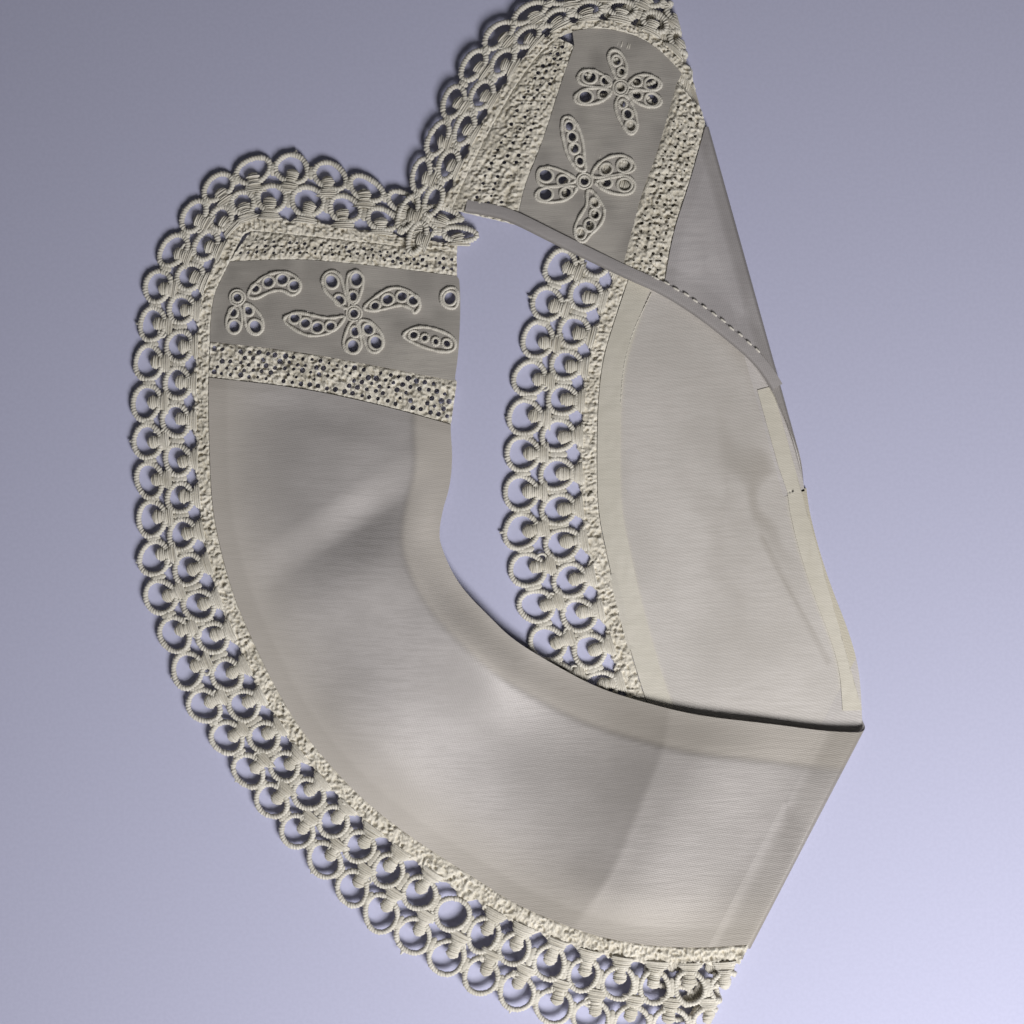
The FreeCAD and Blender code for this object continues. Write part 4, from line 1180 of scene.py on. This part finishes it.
def flap_shade_and_bands(p):
    n = distance(p, right_neck)
    # painted shade along the rolled edge at the fold, with darker bands within 9 mm of the neck and along the insertion
    # edge
    k = 0.40 * zone(fold_r.d(p), 4.2, 0.9) + 0.18 * zone(n, 9.0, 1.0) + 0.15 * zone(distance(p, r_body_front), 3.0, 0.8)
    return np.clip(np.maximum(k, crease_shade_r(p)), 0, 1)


def flap_warm(p):
    return np.clip(0.2 * zone(distance(p, right_neck), 4.0, 0.6), 0, 1)


la, lw = {"dark": left_layers_and_shade, "warm": left_warm}, None
A_LEFT = {"dark": left_layers_and_shade, "warm": left_warm}
A_BACK = {"dark": back_painted_shade, "warm": back_warm}
A_FLAP = {"dark": flap_shade_and_bands, "warm": flap_warm}

left_face = flat_cloth("left_face", left_outline, [], mid(zl, 0.75, 1.1, relief_left), CLOTH_T, M_BODY, "left_front", A_LEFT)
left_lining = flat_cloth("left_lining", left_outline, [], mid(zl, 0.3, 0.65, relief_left), CLOTH_T, M_REVERSE, "left_front", A_LEFT)
back_face = flat_cloth("back_face", back_outline, [], mid(zb, 0.0, 0.35, none), CLOTH_T, M_BODY, "back", None)
back_lining = flat_cloth("back_lining", back_outline, [], mid(zb, 0.45, 0.8, relief_back), CLOTH_T, M_REVERSE, "back", A_BACK)
right_face = flat_cloth("right_face", right_outline, [], mid(zr, 0.75, 1.1, relief_right), CLOTH_T, M_FLAP, "right_front", A_FLAP)
right_lining = flat_cloth("right_lining", right_outline, [], mid(zr, 0.3, 0.65, relief_right), CLOTH_T, M_REVERSE, "right_front", None)


fold_left_face = roll_l.make("fold_left_face", mid(zl, 0.75, 1.1, none), mid(zb, 0, 0.35, none), CLOTH_T, M_BODY, A_LEFT)
fold_left_lining = roll_l.make("fold_left_lining", mid(zl, 0.3, 0.65, none), mid(zb, 0.45, 0.8, none), CLOTH_T, M_REVERSE)
fold_right_face = roll_r.make("fold_right_face", mid(zr, 0.75, 1.1, none), mid(zb, 0, 0.35, none), CLOTH_T, M_FLAP, A_FLAP)
fold_right_lining = roll_r.make("fold_right_lining", mid(zr, 0.3, 0.65, none), mid(zb, 0.45, 0.8, none), CLOTH_T, M_REVERSE)

for obj, nodes in (
    (left_face, ["left_face_cloth"]), (left_lining, ["left_lining_cloth"]), (back_face, ["back_face_cloth"]),
    (back_lining, ["back_lining_cloth"]), (right_face, ["right_face_cloth"]), (right_lining, ["right_lining_cloth"]),
):
    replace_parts(obj, *nodes)

# facings and tapes
neck_l = rail_part(left_neck, body_front[-1], fold_l.cross(left_neck, 2.0))
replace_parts(ribbon("left_neck_facing_cloth", neck_l, offset(neck_l, 11.0, 1), mid(zl, 0.0, 0.2, relief_left), 0.2, M_REVERSE, "left_front", 8, folds=[(fold_l, 2.4)]), "left_neck_facing")
neck_r = rail_part(right_neck, r_body_front[-1], fold_r.cross(right_neck, 2.0))
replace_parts(ribbon("right_neck_facing_cloth", neck_r, offset(neck_r, 3.8, -1), mid(zr, 0.0, 0.2, relief_right), 0.2, M_REVERSE, "right_front", 4, folds=[(fold_r, 2.0)]), "right_neck_facing")
seam_b = rail_part(back_seam, fold_r.cross(back_seam[::-1], 3.0), fold_l.cross(back_seam, 3.0))
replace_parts(ribbon("back_seam_tape_cloth", seam_b, offset(seam_b, 7.0, -1), mid(zb, 0.82, 1.0, lambda p: relief_back(p) + 0.12 * np.abs(noise(arr(p)[:, 0], arr(p)[:, 1], 3.0, 51))), 0.16, M_TAPE, "back", 8, {"warm": lambda p: 0.30 + 0 * arr(p)[:, 0]}, folds=[(fold_l, 2.4), (fold_r, 2.0)]), "back_seam_tape")
neck_b = rail_part(back_neck, back_neck[0], fold_l.cross(back_neck, 3.0))
fold_end = float(np.hypot(*(fold_r.b - fold_r.a)))
neck_b = np.vstack([[fold_r.a + fold_r.u * (fold_end - q) + fold_r.inward * 1.0 for q in (34.0, 22.0, 10.0)], neck_b])
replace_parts(ribbon("back_neck_facing_cloth", neck_b, offset(neck_b, 6.0, 1), mid(zb, 0.82, 1.0, lambda p: relief_back(p) + 0.10 * np.abs(noise(arr(p)[:, 0], arr(p)[:, 1], 3.0, 52))), 0.16, M_TAPE, "back", 8, {"warm": lambda p: 0.45 + 0 * arr(p)[:, 0]}, folds=[(fold_l, 2.4), (fold_r, 2.2)]), "back_neck_facing")


def line_of_stitches(name, rail, z_of, mat, body, long_mm, gap, r, seed, wave=0.12):
    rs = np.random.RandomState(seed)
    bag = Bag()
    total = run_of(arr(rail))[-1]
    s = run_of(arr(rail))
    k = 0.6
    while k < total - long_mm - 0.5:
        q = np.linspace(k, k + long_mm * rs.uniform(0.85, 1.1), 8)
        side = rs.uniform(-wave, wave)
        p = np.stack([np.interp(q, s, arr(rail)[:, 0]) + side, np.interp(q, s, arr(rail)[:, 1]) + side], 1)
        t = np.linspace(-1, 1, 8)
        bag.sweep(np.column_stack([p, z_of(p) - 0.10 * t**4]), r * np.sqrt(1.05 - t**4 * 0.8), r * 0.85 * np.sqrt(1.05 - t**4 * 0.8), sides=8, ribs=0.05, rib_len=0.5)
        k += long_mm + gap
    return bag.build(name, mat, body, "satin_stitch")


hem_run = rail_part(right_neck, right_neck[6], fold_r.cross(right_neck, 3.0))
hem_z = mid(zr, 1.12, 1.42, lambda p: relief_right(p) + 0.5 * (1 - step(0.0, 4.0, distance(p, right_neck))))
# painted shadow: the hem's outer half millimetre is darkened for the shadow gap under the raised edge
flap_hem = ribbon("flap_rolled_hem", offset(hem_run, -0.25, -1), offset(hem_run, 3.7, -1), hem_z, 0.5, M_FLAP, "right_front", 9, {"dark": lambda p: 0.08 + 0.85 * zone(distance(p, offset(hem_run, -0.25, -1)), 0.5, 0.4), "warm": lambda p: 0.12 + 0 * arr(p)[:, 0]})
flap_stitches = line_of_stitches("flap_hem_stitches", rail_part(offset(hem_run, 3.8, -1), arr([48.5, 73.0]), arr([83.0, 46.0])), mid(zr, 1.6, 1.7, relief_right), M_STITCH, "right_front", 2.0, 1.5, 0.30, 61)
for k, line in enumerate(BACK_TOPSTITCH):
    line_of_stitches("back_topstitch_%d" % k, smooth(line), lambda p: relief_back(p) + 0.98, M_STITCH, "back", 1.6, -0.1, 0.16, 63 + k, 0.02)
back_tape2 = ribbon("back_narrow_tape", smooth(NARROW_TAPE), offset(smooth(NARROW_TAPE), 2.6, -1), lambda p: relief_back(p) + 0.96, 0.14, M_TAPE, "back", 4, {"warm": lambda p: 0.1 + 0 * arr(p)[:, 0]})

# ---------------------------------------------------------------- panels


def circle(c, r, n=14, squash=1.0, turn=0.0):
    a = 2 * np.pi * np.arange(n) / n
    x, y = r * np.cos(a), r * squash * np.sin(a)
    return np.stack([c[0] + x * math.cos(turn) - y * math.sin(turn), c[1] + x * math.sin(turn) + y * math.cos(turn)], 1)


def closed_smooth(pts, passes=3):
    pts = arr(pts)
    for _ in range(passes):
        q = np.roll(pts, -1, 0)
        out = np.empty((2 * len(pts), 2))
        out[0::2] = 0.75 * pts + 0.25 * q
        out[1::2] = 0.25 * pts + 0.75 * q
        pts = out
    return pts


def closed_resample(pts, step_mm):
    pts = np.vstack([pts, pts[:1]])
    n = max(8, int(run_of(pts)[-1] / step_mm))
    return resample(pts, n=n)[:-1]


class Motif:
    def __init__(self, centre, eyes, petals, sprays):
        self.centre = arr(centre) if centre is not None else None
        self.eyes = []
        for e in eyes:
            e = arr(e)
            c = self.centre[0] if self.centre is not None else arr(eyes).mean(0)
            away = e - c
            far = float(np.hypot(*away))
            petal = any(inside(e[None], arr(q))[0] for q in petals)
            r = (1.25 + 0.17 * (far - 4.5)) if petal else (1.15 + 0.09 * (far - 5.5))
            near = min([float(np.hypot(*(e - arr(o)))) for o in eyes if np.hypot(*(e - arr(o))) > 0.1] + [9.0])
            r = float(np.clip(min(r, near / 2 - 0.30), 0.9, 2.0 if petal else 1.7))
            self.eyes.append((e, r, math.atan2(away[1], away[0])))
        self.petals, self.sprays = [arr(p) for p in petals], [arr(s) for s in sprays]

    def holes(self, outline):
        out = []
        for e, r, turn in self.eyes:
            h = circle(e, r, 14, 0.88, turn)
            if inside(e[None], outline)[0] and distance(e[None], outline, True)[0] > r + 0.7:
                out.append(h)
        if self.centre is not None and distance(self.centre[:1], outline, True)[0] > 1.6:
            out.append(circle(self.centre[0], 1.2, 14))
        return out

    def work(self, name, outline, z_of, body, node_names, seed):
        rs = np.random.RandomState(seed)
        bag = Bag()
        lift = 0.10
        for e, r, turn in self.eyes:
            if not inside(e[None], outline)[0] or distance(e[None], outline, True)[0] < r + 0.9:
                continue
            c = circle(e, r + 0.26, 52, 0.9, turn)
            bag.sweep(np.column_stack([c, z_of(c) + 0.26 + lift]), 0.45, 0.42, closed=True, sides=8, ribs=0.15, rib_len=0.55, start=rs.uniform(0, 6))
        if self.centre is not None:
            for rr, w in ((1.55, 0.42), (2.35, 0.36)):
                c = circle(self.centre[0], rr, 44)
                if distance(self.centre[:1], outline, True)[0] > rr + 0.6:
                    bag.sweep(np.column_stack([c, z_of(c) + 0.30 + lift]), w, 0.40, closed=True, sides=8, ribs=0.14, rib_len=0.6)
        for shape in self.petals + self.sprays:
            c = closed_resample(closed_smooth(shape, 3), 0.22)
            ok = inside(c, outline) & (distance(c, outline, True) > 0.5)
            if ok.all():
                runs = [(c, True)]
            else:
                runs, k = [], 0
                n = len(c)
                if not ok.any():
                    continue
                first = int(np.argmin(ok)) if not ok.all() else 0
                c2, ok2 = np.roll(c, -first, 0), np.roll(ok, -first)
                cur = []
                for q, g in zip(c2, ok2):
                    if g:
                        cur.append(q)
                    elif len(cur) > 6:
                        runs.append((arr(cur), False))
                        cur = []
                    else:
                        cur = []
                if len(cur) > 6:
                    runs.append((arr(cur), False))
            for q, closed in runs:
                wob = 0.13 * noise(q[:, 0], q[:, 1], 1.1, seed + 1)
                bag.sweep(np.column_stack([q, z_of(q) + 0.26 + lift]), 0.52 + wob, 0.46 + wob, closed=closed, sides=8, ribs=0.15, rib_len=0.66, twist=1.0)
        o = bag.build(name, M_STITCH, body, "satin_stitch")
        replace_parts(o, *node_names)
        return o


motif_outer = Motif(M0_CENTRE, M0_EYES, [M0_P1, M0_P2], [M0_S])
motif_main = Motif(M1_CENTRE, M1_EYES, [M1_P1, M1_P2, M1_P3, M1_P4], [M1_S1, M1_S2])
motif_neck = Motif(None, list(M2_EYES) + list(M2_PE), [M2_P], [M2_S])
motif_r1 = Motif(M3_CENTRE, M3_EYES, [M3_P1, M3_P2, M3_P3, M3_P4], [M3_S1, M3_S2])
motif_r2 = Motif(M4_CENTRE, M4_EYES, [M4_P1, M4_P2, M4_P3, M4_P4], [M4_S1, M4_S2])

left_panel_outline = join(
    edge_run(panel_front),
    edge_run(rail_part(left_neck, panel_front[-1], panel_rear[-1])),
    edge_run(panel_rear[::-1]),
    edge_run(rail_part(left_seam, panel_rear[0], panel_front[0])),
)
right_panel_outline = join(edge_run(r_panel_front), edge_run(arr([r_panel_front[-1], r_panel_rear[-1]])), edge_run(r_panel_rear[::-1]), edge_run(rail_part(right_seam, r_panel_rear[0], r_panel_front[0])))


def panel_dark(p):
    q = arr(p)
    n = 0.35 * noise(q[:, 0], q[:, 1], 9.0, 81) + 0.25 * noise(q[:, 0], q[:, 1], 4.0, 82)
    return np.clip(0.12 + n, 0, 1)


def wavy(base, seed, amp=0.18):
    return lambda p: base(p) + amp * noise(arr(p)[:, 0], arr(p)[:, 1], 7.0, seed)


lp_z, rp_z = mid(zl, 0.3, 0.8, none), mid(zr, 0.3, 0.8, none)
lp_z2, rp_z2 = wavy(lp_z, 91), wavy(rp_z, 92)
holes = [h for m in (motif_outer, motif_main, motif_neck) for h in m.holes(left_panel_outline)]
left_panel = flat_cloth("left_panel_cloth", left_panel_outline, holes, lp_z2, 0.45, M_PANEL, "left_front", {"dark": panel_dark, "warm": none}, spacing=0.9)
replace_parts(left_panel, "left_panel")
holes = [h for m in (motif_r1, motif_r2) for h in m.holes(right_panel_outline)]
right_panel = flat_cloth("right_panel_cloth", right_panel_outline, holes, rp_z2, 0.45, M_PANEL, "right_front", {"dark": panel_dark, "warm": none}, spacing=0.9)
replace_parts(right_panel, "right_panel")
work = [
    motif_outer.work("left_motif_outer_work", left_panel_outline, lp_z2, "left_front", ["left_motif_outer"], 101),
    motif_main.work("left_motif_middle_work", left_panel_outline, lp_z2, "left_front", ["left_motif_middle"], 102),
    motif_neck.work("left_motif_neck_work", left_panel_outline, lp_z2, "left_front", ["left_motif_neck"], 103),
]
work_r = [
    motif_r1.work("right_motif_neck_work", right_panel_outline, rp_z2, "right_front", ["right_motif_neck"], 104),
    motif_r2.work("right_motif_outer_work", right_panel_outline, rp_z2, "right_front", ["right_motif_outer"], 105),
]

ins_lr = knotted_band("left_rear_insertion_knots", panel_rear, body_front, zl, M_MESH, "left_front", 111, [0.16, 0.33, 0.5, 0.67, 0.84])
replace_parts(ins_lr, "left_rear_insertion")
ins_lf = knotted_band("left_front_insertion_knots", front_line, panel_front, zl, M_MESH, "left_front", 112, [0.3, 0.5, 0.7], hole_r=0.6, pitch=2.4)
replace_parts(ins_lf, "left_front_insertion")
ins_rr = knotted_band("right_rear_insertion_knots", r_panel_rear, r_body_front, zr, M_MESH, "right_front", 113, [0.2, 0.4, 0.6, 0.8], hole_r=0.55, pitch=2.3, keep=lambda p: fold_r.d(p) > 0.8)
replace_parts(ins_rr, "right_rear_insertion")
ins_rf = knotted_band("right_front_insertion_knots", r_front[::-1], r_panel_front, zr, M_MESH, "right_front", 114, [0.3, 0.5, 0.7], hole_r=0.62, pitch=2.3)
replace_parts(ins_rf, "right_front_insertion")

# ---------------------------------------------------------------- edging

keep_l = lambda p: (fold_l.d(p) > -7.0) & ((arr(p).reshape(-1, 2)[:, 0] < -10.5) | (arr(p).reshape(-1, 2)[:, 1] < 60))
keep_r = lambda p: fold_r.d(p) > -7.0
keep_b = lambda p: (fold_l.d(p) > 6.5) & (fold_r.d(p) > 6.5)
head_b = lambda p: (fold_l.d(p) > 1.2) & (fold_r.d(p) > 1.2)

left_edge = smooth(list(LEFT_FRONT) + list(LEFT_SEAM), 3)
strip_l = Strip(left_edge, 1, LEFT_TIPS)
right_edge = smooth(list(RIGHT_FRONT) + list(RIGHT_SEAM), 2)
strip_r = Strip(right_edge, -1, RIGHT_TIPS)
strip_b = Strip(back_seam, 1, BACK_TIPS)
edge_l = make_edging("left_edging", strip_l, zl, M_LACE, M_MESH, "left_front", keep_l, 201, fold_l, 6.6, lambda p: fold_l.d(p) > 1.0)
edge_r = make_edging("right_edging", strip_r, zr, M_LACE, M_MESH, "right_front", keep_r, 202, fold_r, 6.6, lambda p: fold_r.d(p) > 0.9)
edge_b = make_edging("back_edging", strip_b, zb, M_LACE, M_MESH, "back", keep_b, 203, None, 0, head_b)
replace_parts(edge_l[0], "left_edging")
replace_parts(edge_r[0], "right_edging")
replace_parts(edge_b[0], "back_edging")

# ---------------------------------------------------------------- stage

floor_mesh = bpy.data.meshes.new("table_top")
floor_mesh.from_pydata([(-9, -9, 0), (9, -9, 0), (9, 9, 0), (-9, 9, 0)], [], [(0, 1, 2, 3)])
floor = bpy.data.objects.new("table_top", floor_mesh)
floor.location.z = -0.0001
bpy.context.scene.collection.objects.link(floor)
m, nt, b = material("table_card")
n1 = node(nt, "TexNoise", Scale=1.0, Detail=3.0)
nt.links.new(coords(nt, 900.0), n1.inputs["Vector"])
nt.links.new(mix(nt, ramp(nt, n1.outputs[0], 0.3, 0.7), FLOOR_A, FLOOR_B), b.inputs["Base Color"])
b.inputs["Roughness"].default_value = 0.85
b.inputs["Specular IOR Level"].default_value = 0.2
floor_mesh.materials.append(m)

bpy.context.scene.view_settings.view_transform = "Standard"
world = bpy.data.worlds.new("soft_room")
bpy.context.scene.world = world
world.use_nodes = True
world.node_tree.nodes["Background"].inputs["Color"].default_value = (*WORLD_COLOUR, 1)
world.node_tree.nodes["Background"].inputs["Strength"].default_value = WORLD


def light(name, where, target, size, power, colour):
    d = bpy.data.lights.new(name, "AREA")
    d.shape, d.size, d.energy, d.color = "DISK", size, power, colour
    o = bpy.data.objects.new(name, d)
    o.location = where
    o.rotation_euler = (Vector(target) - Vector(where)).to_track_quat("-Z", "Y").to_euler()
    bpy.context.scene.collection.objects.link(o)


for spec in LIGHTS:
    light(*spec)

cam_data = bpy.data.cameras.new("camera")
cam_data.lens, cam_data.sensor_width = 47.6, 36.0
cam_data.clip_start, cam_data.clip_end = 0.01, 20
camera = bpy.data.objects.new("camera", cam_data)
camera.location = (0.004893, -0.000377, 0.42)
bpy.context.scene.collection.objects.link(camera)
bpy.context.scene.camera = camera

# ---------------------------------------------------------------- sheets


def declare_flat(name):
    o, w, l, a = made[name]
    w, l, a = w / 1000, l / 1000, a / 1e6
    min(a, 0.999 * w * l)


obj = bpy.data.objects
declare_flat("back_face")
declare_flat("back_lining")
declare_flat("left_lining")
declare_flat("left_face")
declare_flat("left_panel_cloth")
declare_flat("right_lining")
declare_flat("right_face")
declare_flat("right_panel_cloth")

bpy.context.view_layer.update()
